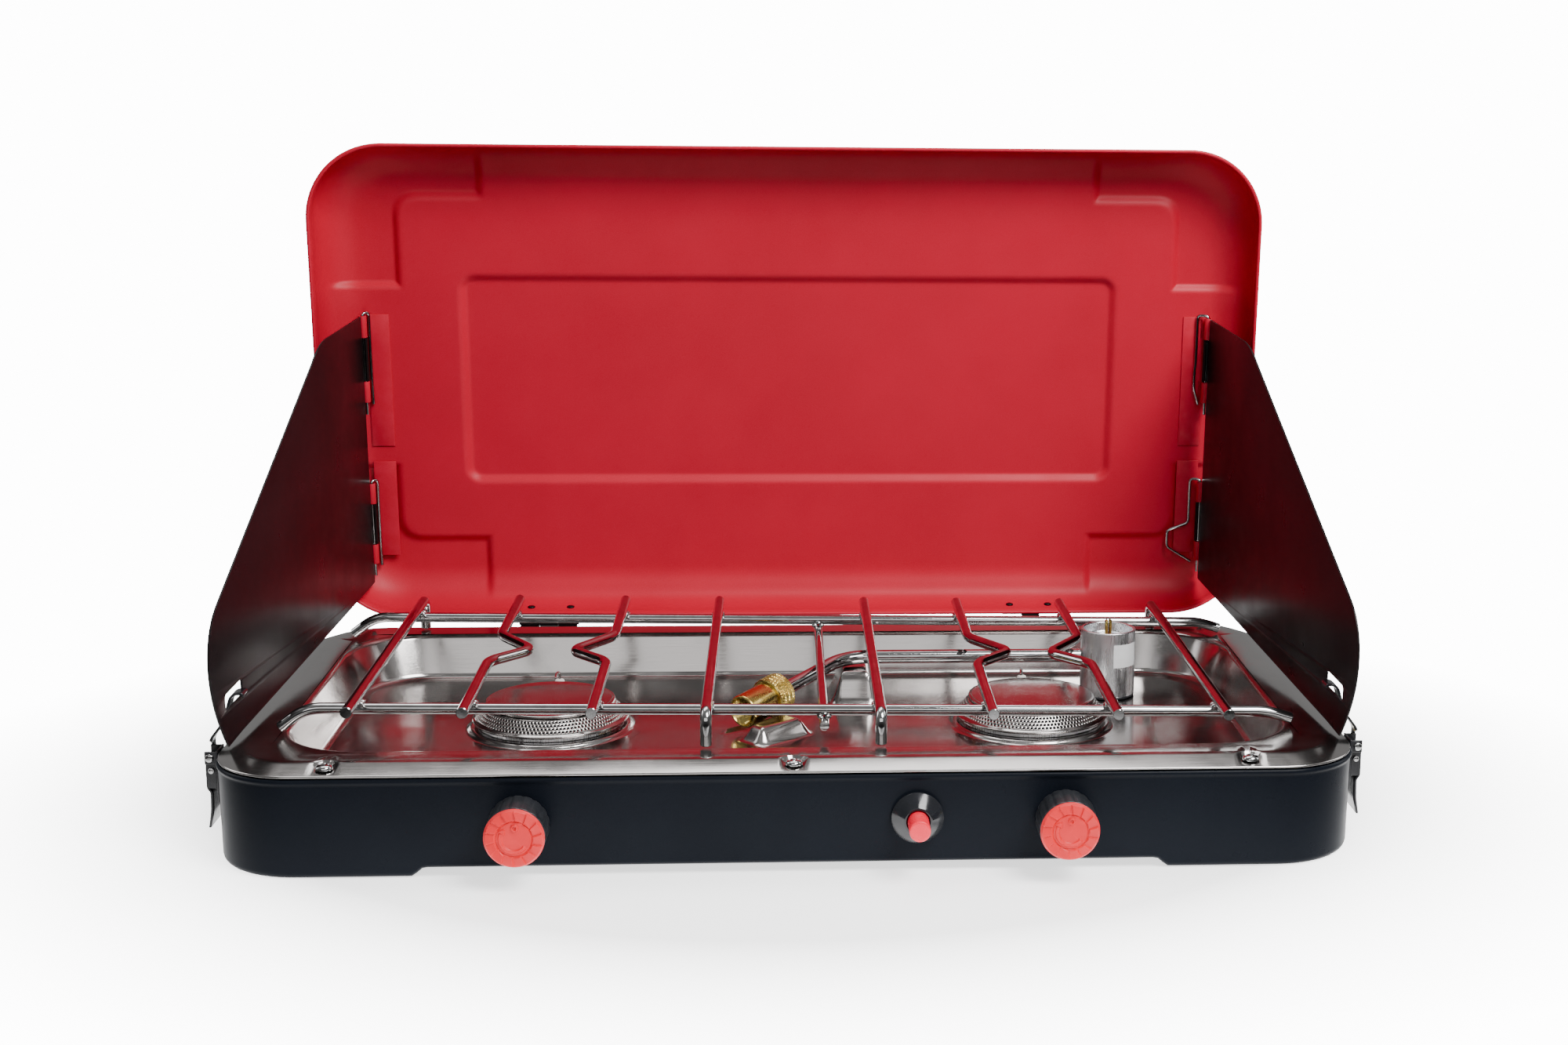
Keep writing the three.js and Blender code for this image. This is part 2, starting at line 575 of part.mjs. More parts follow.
// The screen's outline by distance s out from its pins and height t up the lid.
function screenOutline() {
  const shape = new THREE.Shape();
  shape.moveTo(3.4, 17.5);
  shape.lineTo(262, 16.4);
  shape.lineTo(283, 15.6);
  shape.quadraticCurveTo(303, 42, 303, 62);
  shape.quadraticCurveTo(303, 83, 284, 92);
  shape.lineTo(106, 178);
  shape.quadraticCurveTo(92, 186.5, 76, 187);
  shape.lineTo(3.4, 187);
  shape.closePath();
  const slot = new THREE.Path();
  slot.moveTo(258, 35);
  slot.lineTo(284, 35);
  slot.lineTo(284, 43.5);
  slot.lineTo(258, 43.5);
  slot.closePath();
  shape.holes.push(slot);
  return shape;
}

function windscreen(s) {
  const flat = { depth: WING.t, bevelEnabled: false, curveSegments: 8 };
  const sheet = new THREE.ExtrudeGeometry(screenOutline(), flat).translate(0, 0, -WING.t / 2);
  // Out from the pins is -Z and up the lid is -Y.
  const turn = new THREE.Matrix4().makeBasis(
    new THREE.Vector3(0, 0, -1),
    new THREE.Vector3(0, -1, 0),
    new THREE.Vector3(-1, 0, 0),
  );
  sheet.applyMatrix4(turn).translate(0, -LID_GAP.up, 0);
  const arms = WING_HINGES.flatMap(({ knuckles: [, [t0, t1]] }) => [
    knuckle(t0, t1),
    box(-0.6, 0.6, lidY(t1), lidY(t0), -5, 0),
  ]);
  const solid = join(sheet, ...arms);
  return cut(solid, knuckle(20, 200, PIN_R + 0.2)).rotateY(s * THREE.MathUtils.degToRad(-WING.flare));
}

SIDES.forEach(([side, s]) => {
  const screen = new THREE.Group();
  screen.position.set(s * WING.pinX, 0, PIN_Z);
  lid.add(screen);
  add(screen, `windscreen_${side}`, windscreen(s), BLACK_STEEL);
  WING_HINGES.forEach((hinge) => {
    add(screen, `screen_hinge_leaf_${side}_${hinge.name}`, screenLeaf(s, hinge), RED_PAINT);
    add(screen, `screen_hinge_pin_${side}_${hinge.name}`, springPin(s, hinge), NICKEL);
  });
});

// ---------------------------------------------------------------- side latches
function latchBracket() {
  const x = -LATCH.pivotX;
  const z = LATCH.pivotZ;
  const plate = box(-292.9, -291.9, -9, 5, 26, 53);
  const ears = [[-9, -7.9], [3.9, 4.9]].map(([y0, y1]) => box(x - 2.5, -292, y0, y1, z - 3.3, z + 3.3));
  const rivet = rod(1.6, [x, -10, z], [x, 4.9, z], 16);
  const head = rod(2.4, [x, -10, z], [x, -8.8, z], 16);
  return join(plate, ...ears, rivet, head);
}
function latchLever() {
  const x = -LATCH.pivotX;
  const z = LATCH.pivotZ;
  const cheeks = join(rod(2.7, [x, -6, z], [x, 3.6, z], 16), box(x - 2.8, x + 2.6, -6, 3.6, z - 18, z - 0.6));
  const tab = bentStrip([[x - 0.4, z - 17], [x - 0.8, z - 24]], 1.4, -6, 3.6);
  const blade = bentStrip([[x - 0.8, z - 21], [x - 1.2, z - 30], [x - 2.4, z - 38]], 1.4, -6, 16);
  const holes = [
    rod(1.9, [x, -20, z], [x, 20, z], 16),
    rod(1.8, [x, -20, z - LATCH.drop], [x, 20, z - LATCH.drop], 12),
  ];
  return cut(join(cheeks, tab, blade), ...holes);
}
function latchHook() {
  const x = -LATCH.pivotX;
  const z = LATCH.pivotZ - LATCH.drop;
  const leg = bentStrip([[x, z], [x - 1.6, z + 2], [x - 2, z + 14]], 1.3, 5.3, 10.5);
  const strap = bentStrip([
    [x - 2, z + 12], [x - 2, z + 14], [x + 5.8, z + 23.9], [x + 9.2, z + 36.1],
    [x + 11.4, z + 38.2], [x + 15.4, z + 38.4], [x + 15.7, z + 36.8],
  ], 1.3, 0, 10.5);
  const rivet = rod(1.5, [x, -7.5, z], [x, 10.5, z], 12);
  const head = rod(2.1, [x, -7.5, z], [x, -6.3, z], 12);
  const boss = rod(2.6, [x, 5.3, z], [x, 10.5, z], 12);
  return join(leg, strap, rivet, head, boss);
}
SIDES.forEach(([side, s]) => {
  [['bracket', latchBracket], ['lever', latchLever], ['hook', latchHook]].forEach(([name, make]) => {
    const geometry = make();
    if (s > 0) {
      geometry.scale(-1, 1, 1);
      const index = geometry.index.array;
      for (let i = 0; i < index.length; i += 3) {
        [index[i], index[i + 1]] = [index[i + 1], index[i]];
      }
    }
    add(stove, `latch_${name}_${side}`, geometry, BLACK_STEEL).position.set(0, LATCH.y, 0);
  });
});

// The origin moves to the middle of the whole box, on the table.
const extent = new THREE.Box3().setFromObject(stove, true);
stove.position.y = -(extent.min.y + extent.max.y) / 2;

const model = new THREE.Group();
model.add(stove);
export default model;
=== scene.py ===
import json
import math
import random

import bmesh
import bpy
from mathutils import Matrix, Vector, noise
from mathutils.geometry import tessellate_polygon


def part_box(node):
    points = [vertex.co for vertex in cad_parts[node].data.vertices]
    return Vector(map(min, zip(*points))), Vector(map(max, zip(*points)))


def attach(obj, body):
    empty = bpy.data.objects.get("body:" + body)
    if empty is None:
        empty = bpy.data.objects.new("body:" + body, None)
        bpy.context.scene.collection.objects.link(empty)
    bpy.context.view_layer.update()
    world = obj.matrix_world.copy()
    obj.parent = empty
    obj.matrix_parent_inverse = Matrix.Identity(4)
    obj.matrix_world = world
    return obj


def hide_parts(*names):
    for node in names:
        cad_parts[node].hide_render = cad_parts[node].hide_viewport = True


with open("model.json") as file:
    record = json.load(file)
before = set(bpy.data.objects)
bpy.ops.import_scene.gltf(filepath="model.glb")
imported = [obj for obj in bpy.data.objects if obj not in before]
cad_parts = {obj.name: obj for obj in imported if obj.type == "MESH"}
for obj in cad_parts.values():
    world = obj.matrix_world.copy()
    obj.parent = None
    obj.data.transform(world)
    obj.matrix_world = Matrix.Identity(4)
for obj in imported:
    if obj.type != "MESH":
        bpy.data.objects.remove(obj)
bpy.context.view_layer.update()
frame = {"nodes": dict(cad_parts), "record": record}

# Camp stove.  Shapes are drawn in millimetres in the stove's own space: X right, Y back from the
# stove's front edge, Z up from the table.  place() turns them into the frame's metres.
MM = 0.001
FRONT_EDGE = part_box("base_pan")[0].y - 0.5 * MM
SIDES = (("left", -1), ("right", 1))

BASE = {"x": 291.5, "y0": 0.5, "y1": 296.5, "corner": 44.5, "top": 51.5, "bead": 4, "bend": 4, "draft": 1.4}
FOOT = {"height": 4.5, "x": 190, "half_depth": 96, "step": 7, "fade": 12}
TRAY = {"x": 290.7, "y0": 1.2, "y1": 295.8, "corner": 44, "lip": 52, "crest": 57.4, "edge": 55.9,
        "floor": 30, "warp": 0.15}
RECESS = {"x": 263, "y0": 35, "y1": 272, "corner": 46, "run": 12}
LID = {"x": 288, "y0": 0, "y1": 294, "depth": 32, "corner": 46, "bend": 24, "lean": 4, "gap": 3.5,
       "back": 1, "raised": 2.8}
LID_AXIS = (302, 55)
BURNER = {"x": 136.5, "y": 160, "spark": 50.5}
KNOB = {"x": 135.5, "z": 28.7, "face": 23.4, "wedges": 14, "raised": 0.75}
KNOB_ARROW = {"r": 6.6, "half_width": 0.75, "tail": (321, 325), "neck": (150, 154), "tip": 132, "head": 20}
IGNITER = {"x": 61.5, "z": 29.2}
WIRE = {"r": 3, "z": 73.5, "front": 33, "rear": 279, "rail_front": 63, "rail_rear": 258, "legs": 58.2}
# Each grate rail: how far out it ends, where it bends down, and the height of its tips.
RAIL_END = (264.3, 251, 60)
GRATE_SLANT = -0.0122
ROD_X = (224.5, 167, 102.4, 44.7)
SCREW = {"x": (-231, 0, 231), "y": 8.8, "seat": 54.7, "dish": (5.4, 7)}
SCREW_CROSS = {"half_width": 0.62, "reach": 2.7, "depth": 1.4, "run_out": 3.4}
# Pressed rests for the stowed regulator: centre, half size, top, turn in degrees, width of the flank.
RESTS = (
    ("front", (-14.6, 142.5), (20, 19), 38.9, 40, 8),
    ("rear", (37, 218), (15, 22), 48.9, 0, 9),
)
LID_RIVETS = {"x": 152, "apart": 12.3, "up": 2.2, "back": 12.5}
# The lid's raised panel steps in at its corners: an outer and an inner (x, height) for each pair.
PANEL_CORNERS = {"upper": ((189, 260), (240, 205)), "lower": ((191, 44), (246, 91)), "blend": 14}
PANEL_CENTRE = {"height": 146, "half": (203, 65), "corner": 9}
WING = {"x": 262, "depth": 23, "flare": 4.7, "t": 1.0, "knuckle": 2.05}
# Each screen hinge by height up the lid: the leaf, and its lid, screen and lid knuckles.
SCREEN_HINGES = (
    {"name": "lower", "leaf": (33, 94), "knuckles": ((29, 41.5), (42, 67.5), (68, 81)), "bow": 19.8},
    {"name": "upper", "leaf": (104, 187), "knuckles": ((133, 146), (146.5, 173), (173.5, 187)), "bow": 6.8},
)
LATCH = {"y": 54, "x": 296, "z": 49.5, "drop": 7.4}
CAPSULE = {"x": 189, "y": 218, "r": 16.3, "bottom": 31.2, "top": 71}
PIPE_BEND = Vector((31, 218, 54))
NUT_END = Vector((-28.3, 143.4, 42.4))
NUT_BARREL = 22
NUT_GROOVE = 12.9


def place(p):
    return Vector((p[0] * MM, p[1] * MM + FRONT_EDGE, p[2] * MM))


def lid_place(p):
    """From lid space: X, height up the lid from its lower rim, depth back from its rim's plane."""
    lean = math.radians(LID["lean"])
    up, back = p[1] + LID["gap"], p[2] + LID["back"]
    y = LID_AXIS[0] - up * math.sin(lean) + back * math.cos(lean)
    return place((p[0], y, LID_AXIS[1] + up * math.cos(lean) + back * math.sin(lean)))


# ---- mesh helpers
def add(thing):
    bpy.context.scene.collection.objects.link(thing)


def smooth(mesh, sharp):
    """Smooth shading that keeps the edges sharper than an angle in degrees."""
    mesh.polygons.foreach_set("use_smooth", [True] * len(mesh.polygons))
    mesh.set_sharp_from_angle(angle=math.radians(sharp))


def make(name, shape, slot, body, at=place, replaces=(), finish=None, sharp=38):
    """One piece from (vertices, faces), riding on a body and standing for CAD nodes.  Its slot's
    finish is used unless it has one of its own."""
    vertices, faces = shape
    mesh = bpy.data.meshes.new(name)
    mesh.from_pydata([at(v) for v in vertices], [], faces)
    bm = bmesh.new()
    bm.from_mesh(mesh)
    bmesh.ops.remove_doubles(bm, verts=bm.verts, dist=1e-6)
    bmesh.ops.recalc_face_normals(bm, faces=bm.faces)
    bm.to_mesh(mesh)
    bm.free()
    smooth(mesh, sharp)
    mesh.materials.append(finish or MATERIALS[slot])
    piece = bpy.data.objects.new(name, mesh)
    add(piece)
    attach(piece, body)
    if replaces:
        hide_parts(*replaces)
    return piece


def thicken(piece, millimetres, offset=-1):
    """Offset -1 grows a sheet inwards from its drawn face, and 0 grows it to both sides."""
    solid = piece.modifiers.new("thickness", "SOLIDIFY")
    solid.thickness = millimetres * MM
    solid.offset = offset


def bevel(piece, millimetres):
    edge = piece.modifiers.new("edges", "BEVEL")
    edge.width = millimetres * MM
    edge.segments = 2
    edge.limit_method = "ANGLE"
    edge.angle_limit = math.radians(50)


def block(x0, x1, y0, y1, z0, z1):
    vertices = [Vector((x, y, z)) for z in (z0, z1) for y in (y0, y1) for x in (x0, x1)]
    return vertices, [(0, 2, 3, 1), (4, 5, 7, 6), (0, 1, 5, 4), (2, 6, 7, 3), (0, 4, 6, 2), (1, 3, 7, 5)]


def strip(path, low, high, steps=1):
    """A sheet whose section is a path of (across, deep), drawn between two heights."""
    count = len(path)
    heights = [low + (high - low) * i / steps for i in range(steps + 1)]
    vertices = [Vector((p[0], h, p[1])) for h in heights for p in path]
    faces = []
    for row in range(steps):
        for k in range(count - 1):
            a = row * count + k
            faces.append((a, a + 1, a + 1 + count, a + count))
    return vertices, faces


def turns(count):
    """Angles once round a circle."""
    return [2 * math.pi * k / count for k in range(count)]


def polar(r, angle, z):
    return Vector((r * math.cos(angle), r * math.sin(angle), z))


def arc(cx, cy, r, start, end, steps):
    angles = [math.radians(start + (end - start) * i / steps) for i in range(steps + 1)]
    return [(cx + r * math.cos(a), cy + r * math.sin(a)) for a in angles]


def merge(*shapes):
    vertices, faces = [], []
    for more_vertices, more_faces in shapes:
        start = len(vertices)
        vertices += list(more_vertices)
        faces += [tuple(start + i for i in face) for face in more_faces]
    return vertices, faces


def moved(shape, offset, turn=None):
    vertices = [Vector(v) for v in shape[0]]
    if turn is not None:
        vertices = [turn @ v for v in vertices]
    return [v + Vector(offset) for v in vertices], shape[1]


def reshaped(shape, change):
    """The same faces, with every vertex put where change(vertex) says."""
    return [Vector(change(v)) for v in shape[0]], shape[1]


def bands(count, rings):
    """Quads between rings of count points each, which follow one another in the vertex list."""
    faces = []
    for i in range(rings - 1):
        a, b = i * count, (i + 1) * count
        for k in range(count):
            n = (k + 1) % count
            faces.append((a + k, a + n, b + n, b + k))
    return faces


def rounded(points, radius, steps=5):
    """A polyline whose inner corners are rounded, by less where a side is short."""
    points = [Vector(p) for p in points]
    path = [points[0]]
    for a, p, b in zip(points, points[1:], points[2:]):
        reach = min(radius, (a - p).length * 0.49, (b - p).length * 0.49)
        start, end = p + (a - p).normalized() * reach, p + (b - p).normalized() * reach
        for i in range(steps + 1):
            t = i / steps
            path.append(start * (1 - t) ** 2 + p * 2 * t * (1 - t) + end * t ** 2)
    path.append(points[-1])
    return path


def lathe(profile, sides, ripple=None):
    """A surface of revolution about Z from (radius, z) points; ends on the axis are closed."""
    vertices, faces = [], []
    rings = []
    for r, z in profile:
        if r < 1e-6:
            rings.append([len(vertices)])
            vertices.append(Vector((0, 0, z)))
            continue
        rings.append(range(len(vertices), len(vertices) + sides))
        for a in turns(sides):
            reach = r * (1 + ripple(a, z, r)) if ripple else r
            vertices.append(polar(reach, a, z))
    for low, high in zip(rings, rings[1:]):
        for k in range(sides):
            n = (k + 1) % sides
            face = [low[k % len(low)], low[n % len(low)], high[n % len(high)], high[k % len(high)]]
            face = [v for i, v in enumerate(face) if v not in face[:i]]
            if len(face) > 2:
                faces.append(tuple(face))
    return vertices, faces


def sweep(path, radius, sides, chamfer=0.35):
    """A round wire along a path, with its ends cut square and their edges broken."""
    path = [Vector(p) for p in path]
    first, last = (path[1] - path[0]).normalized(), (path[-1] - path[-2]).normalized()
    stations = [(path[0], first, radius - chamfer), (path[0] + first * chamfer, first, radius)]
    for before, at, after in zip(path, path[1:], path[2:]):
        stations.append((at, (after - before).normalized(), radius))
    stations += [(path[-1] - last * chamfer, last, radius), (path[-1], last, radius - chamfer)]
    side = first.orthogonal().normalized()
    vertices = []
    for at, along, r in stations:
        side = (side - along * side.dot(along)).normalized()
        other = along.cross(side)
        vertices += [at + (side * math.cos(a) + other * math.sin(a)) * r for a in turns(sides)]
    faces = bands(sides, len(stations))
    end = len(vertices) - sides
    faces += [tuple(reversed(range(sides))), tuple(range(end, end + sides))]
    return vertices, faces


def rounded_rect(x, y0, y1, r, sides, bend):
    """Anticlockwise from the front side's left end.  Sides are point counts across and front to
    back, and each corner takes twice bend."""
    corners = ((x - r, y0 + r, -90), (x - r, y1 - r, 0), (r - x, y1 - r, 90), (r - x, y0 + r, 180))
    ring = []
    for k, (cx, cy, start) in enumerate(corners):
        px, py, _ = corners[k - 1]
        out = Vector((math.cos(math.radians(start)), math.sin(math.radians(start)))) * r
        a, b = Vector((px, py)) + out, Vector((cx, cy)) + out
        count = sides[k % 2]
        ring += [a.lerp(b, i / count) for i in range(count)]
        for i in range(2 * bend):
            t = math.radians(start + 90 * i / (2 * bend))
            ring.append(Vector((cx + r * math.cos(t), cy + r * math.sin(t))))
    return ring


def pressed_skin(rings, sides, bend, height, relief):
    """A pressed sheet: rounded rectangles (x, y0, y1, corner, z) from its edge inwards, whose last
    one is filled by a grid that height(x, y) shapes; relief(x, y, z) shapes the rings."""
    outline = [(rounded_rect(*ring[:4], sides, bend), ring[4]) for ring in rings]
    count = len(outline[0][0])
    vertices = []
    for points, z in outline:
        vertices += [Vector((p.x, p.y, relief(p.x, p.y, z))) for p in points]
    faces = bands(count, len(outline))
    across, deep = sides[0] + 2 * bend, sides[1] + 2 * bend
    border = [(i, 0) for i in range(bend, across)] + [(across, j) for j in range(deep)]
    border += [(i, deep) for i in range(across, 0, -1)] + [(0, j) for j in range(deep, 0, -1)]
    border += [(i, 0) for i in range(bend)]
    first = len(vertices) - count
    index = {cell: first + k for k, cell in enumerate(border)}
    edge = {cell: vertices[first + k] for k, cell in enumerate(border)}
    low_left, low_right = edge[0, 0], edge[across, 0]
    high_left, high_right = edge[0, deep], edge[across, deep]
    for i in range(1, across):
        u = i / across
        for j in range(1, deep):
            v = j / deep
            spot = edge[i, 0].lerp(edge[i, deep], v) + edge[0, j].lerp(edge[across, j], u)
            spot -= low_left.lerp(low_right, u).lerp(high_left.lerp(high_right, u), v)
            index[i, j] = len(vertices)
            vertices.append(Vector((spot.x, spot.y, height(spot.x, spot.y))))
    for i in range(across):
        for j in range(deep):
            faces.append((index[i, j], index[i + 1, j], index[i + 1, j + 1], index[i, j + 1]))
    return vertices, faces


def inset_rect(part, inset, shrink, z):
    """A ring for pressed_skin inside a part's outline; its corner shrinks by a share of the inset."""
    return part["x"] - inset, part["y0"] + inset, part["y1"] - inset, part["corner"] - shrink * inset, z


def quarter_bend(r, steps):
    """How far in and how far up a sheet is as it turns from a wall into a flat."""
    angles = [math.radians(90 * k / steps) for k in range(steps + 1)]
    return [(r * (1 - math.cos(a)), r * (1 - math.sin(a))) for a in angles]


def ease(value, low, high):
    t = min(1, max(0, (value - low) / (high - low)))
    return t * t * (3 - 2 * t)


def box_distance(x, y, half_x, half_y, corner):
    """Distance outside a rounded rectangle about the origin; negative inside."""
    dx, dy = abs(x) - half_x + corner, abs(y) - half_y + corner
    return math.hypot(max(dx, 0), max(dy, 0)) + min(max(dx, dy), 0) - corner


def soft_min(a, b, blend):
    t = max(0, blend - abs(a - b)) / blend
    return min(a, b) - t * t * blend / 4


# ---- materials
class Finish:
    """A Principled material with noise in the piece's own space, scaled in millimetres."""

    def __init__(self, name, **fixed):
        self.material = bpy.data.materials.new(name)
        self.material.use_nodes = True
        self.tree = self.material.node_tree
        self.surface = self.tree.nodes["Principled BSDF"]
        self.space = self.node("ShaderNodeTexCoord").outputs["Object"]
        self.normal = None
        for socket, value in fixed.items():
            self.surface.inputs[socket.replace("_", " ")].default_value = value

    def node(self, kind, **settings):
        made = self.tree.nodes.new(kind)
        for name, value in settings.items():
            setattr(made, name, value)
        return made

    def link(self, output, target):
        self.tree.links.new(output, target)

    def noise(self, size, stretch=(1, 1, 1), detail=3.0):
        """Noise whose grain is about size millimetres, drawn out along each axis by stretch."""
        mapping = self.node("ShaderNodeMapping")
        mapping.inputs["Scale"].default_value = [1 / (size * MM * s) for s in stretch]
        self.link(self.space, mapping.inputs["Vector"])
        texture = self.node("ShaderNodeTexNoise")
        texture.inputs["Scale"].default_value = 1.0
        texture.inputs["Detail"].default_value = detail
        self.link(mapping.outputs["Vector"], texture.inputs["Vector"])
        return texture.outputs["Fac"]

    def between(self, factor, low, high, start=0.35, end=0.65):
        ranged = self.node("ShaderNodeMapRange")
        for socket, value in zip(("From Min", "From Max", "To Min", "To Max"), (start, end, low, high)):
            ranged.inputs[socket].default_value = value
        self.link(factor, ranged.inputs["Value"])
        return ranged.outputs["Result"]

    def product(self, a, b):
        times = self.node("ShaderNodeMath", operation="MULTIPLY")
        self.link(a, times.inputs[0])
        self.link(b, times.inputs[1])
        return times.outputs["Value"]

    def mix(self, factor, low, high):
        """From one colour to another, each given as numbers or as a colour output."""
        blend = self.node("ShaderNodeMix", data_type="RGBA")
        self.link(factor, blend.inputs["Factor"])
        for socket, value in (("A", low), ("B", high)):
            target = next(i for i in blend.inputs if i.name == socket and i.type == "RGBA")
            if isinstance(value, tuple):
                target.default_value = (*value, 1)
            else:
                self.link(value, target)
        return next(o for o in blend.outputs if o.type == "RGBA")

    def bump(self, height, millimetres, strength):
        relief = self.node("ShaderNodeBump")
        relief.inputs["Strength"].default_value = strength
        relief.inputs["Distance"].default_value = millimetres * MM
        self.link(height, relief.inputs["Height"])
        if self.normal:
            self.link(self.normal, relief.inputs["Normal"])
        self.normal = relief.outputs["Normal"]
        self.link(self.normal, self.surface.inputs["Normal"])

    def edges(self):
        """1 on worn convex edges, 0 elsewhere."""
        point = self.node("ShaderNodeNewGeometry").outputs["Pointiness"]
        patchy = self.between(self.noise(6), 0, 1, 0.4, 0.7)
        return self.product(self.between(point, 0, 1, 0.51, 0.56), patchy)

    def paint(self, colour):
        self.link(colour, self.surface.inputs["Base Color"])

    def gloss(self, roughness):
        self.link(roughness, self.surface.inputs["Roughness"])


def powder_coat(name, dark, light, worn, roughness, grain, rubbed=True, **fixed):
    """Powder coat: faint cloudy colour, fine orange peel, and rubbed edges."""
    coat = Finish(name, **fixed)
    cloud = coat.between(coat.noise(70, detail=5), 0, 1)
    speck = coat.noise(0.45, detail=2)
    body = coat.mix(coat.between(speck, 0, 0.35), coat.mix(cloud, dark, light), worn)
    if rubbed:
        body = coat.mix(coat.product(coat.edges(), coat.between(cloud, 0.3, 0.6, 0, 1)), body, worn)
    coat.paint(body)
    coat.gloss(coat.between(coat.noise(22, detail=6), *roughness, 0.3, 0.7))
    coat.bump(coat.noise(grain, detail=2), 0.05, 0.35)
    coat.bump(coat.noise(38, detail=1), 0.5, 0.12)
    return coat.material


def brushed(name, dark, light, roughness, stretch, size=0.35, depth=0.02, **fixed):
    """Metal with grain drawn out along one axis, smears and handling marks."""
    metal = Finish(name, Metallic=1.0, **fixed)
    grain = metal.noise(size, stretch, detail=4)
    smear = metal.between(metal.noise(26, detail=5), 0, 1)
    metal.paint(metal.mix(metal.between(grain, 0, 1), metal.mix(smear, dark, light), light))
    metal.gloss(metal.product(metal.between(grain, *roughness), metal.between(smear, 0.8, 1.25, 0, 1)))
    metal.bump(grain, depth, 0.5)
    metal.bump(metal.noise(60, detail=1), 0.1, 0.1)
    return metal.material


def plated(name, dark, light, roughness, **fixed):
    """Bright plated wire: dull patches, tiny pits and a slight ripple."""
    metal = Finish(name, Metallic=1.0, **fixed)
    patch = metal.between(metal.noise(9, detail=5), 0, 1, 0.4, 0.7)
    pits = metal.noise(0.8, detail=2)
    metal.paint(metal.mix(patch, light, dark))
    metal.gloss(metal.product(metal.between(patch, *roughness, 0, 1), metal.between(pits, 0.8, 1.4)))
    metal.bump(pits, 0.012, 0.4)
    metal.bump(metal.noise(7, detail=2), 0.06, 0.3)
    return metal.material


def moulded(name, dark, light, roughness, grain=0.35, depth=0.03, **fixed):
    """Injection-moulded plastic: fine spark texture and slightly polished high spots."""
    plastic = Finish(name, **fixed)
    cloud = plastic.between(plastic.noise(12, detail=4), 0, 1)
    body = plastic.mix(cloud, dark, light)
    rubbed = tuple(min(1, c * 1.35 + 0.02) for c in light)
    plastic.paint(plastic.mix(plastic.between(plastic.edges(), 0, 0.5, 0, 1), body, rubbed))
    plastic.gloss(plastic.between(plastic.noise(4, detail=5), *roughness))
    plastic.bump(plastic.noise(grain, detail=2), depth, 0.4)
    return plastic.material


def make_materials():
    return {
        "black_paint": powder_coat("black_powder_coat", (0.004, 0.0052, 0.0082), (0.0055, 0.0072, 0.011),
                                   (0.008, 0.01, 0.014), (0.26, 0.34), 0.9, rubbed=False,
                                   Specular_IOR_Level=0.05),
        "black_steel": powder_coat("dark_coated_steel", (0.004, 0.0028, 0.0032), (0.007, 0.005, 0.0056),
                                   (0.012, 0.009, 0.0095), (0.27, 0.35), 0.7, rubbed=False,
                                   Specular_IOR_Level=0.14),
        "red_paint": powder_coat("red_powder_coat", (0.45, 0.0015, 0.019), (0.5, 0.002, 0.023),
                                 (0.55, 0.02, 0.05), (0.42, 0.5), 0.55, Specular_IOR_Level=0.24),
        "stainless": brushed("brushed_stainless", (0.35, 0.33, 0.32), (0.41, 0.39, 0.38), (0.14, 0.2),
                             (90, 1, 1), 0.35, 0.006, Anisotropic=0.3),
        "nickel": plated("bright_nickel", (0.38, 0.37, 0.365), (0.5, 0.5, 0.5), (0.05, 0.12)),
        "aluminium": brushed("drawn_aluminium", (0.62, 0.63, 0.65), (0.8, 0.81, 0.83), (0.24, 0.36),
                             (1, 1, 60), Anisotropic=0.4),
        "brass": plated("machined_brass", (0.42, 0.29, 0.07), (0.62, 0.47, 0.15), (0.16, 0.26)),
        "black_plastic": moulded("black_moulding", (0.008, 0.009, 0.011), (0.014, 0.015, 0.018),
                                 (0.34, 0.46)),
        "red_plastic": moulded("coral_moulding", (0.62, 0.008, 0.014), (0.68, 0.012, 0.018), (0.4, 0.52),
                               Specular_IOR_Level=0.35),
        "black_gloss": moulded("gloss_black_coating", (0.006, 0.006, 0.008), (0.01, 0.01, 0.012),
                               (0.12, 0.22), 0.9, 0.02),
        "label": moulded("paper_label", (0.7, 0.7, 0.7), (0.8, 0.8, 0.8), (0.45, 0.55), 0.6, 0.01),
        "ceramic": moulded("glazed_ceramic", (0.8, 0.78, 0.72), (0.86, 0.85, 0.8), (0.12, 0.22), 0.8, 0.01),
    }


MATERIALS = make_materials()


def dress_cad_nodes():
    """Every CAD node takes its slot's finish and smooth shading between its sharp edges."""
    for part in frame["record"]["subparts"]:
        node = frame["nodes"][part["node"]]
        node.data.materials.clear()
        node.data.materials.append(MATERIALS[part["material_slot"]])
        smooth(node.data, 35)


# ---- camera, lights and floor
CAMERA = {"yaw": 3.929, "pitch": 11.094, "roll": 0.598, "lens": 49.49, "sensor": 36,
          "shift": (-0.0925, -0.0072), "at": (-0.0048, -1.1802, 0.3868)}
BACKDROP_LIGHT = 14.0
ROOM_LIGHT = 0.4
FLOOR_GLOW = 1.5


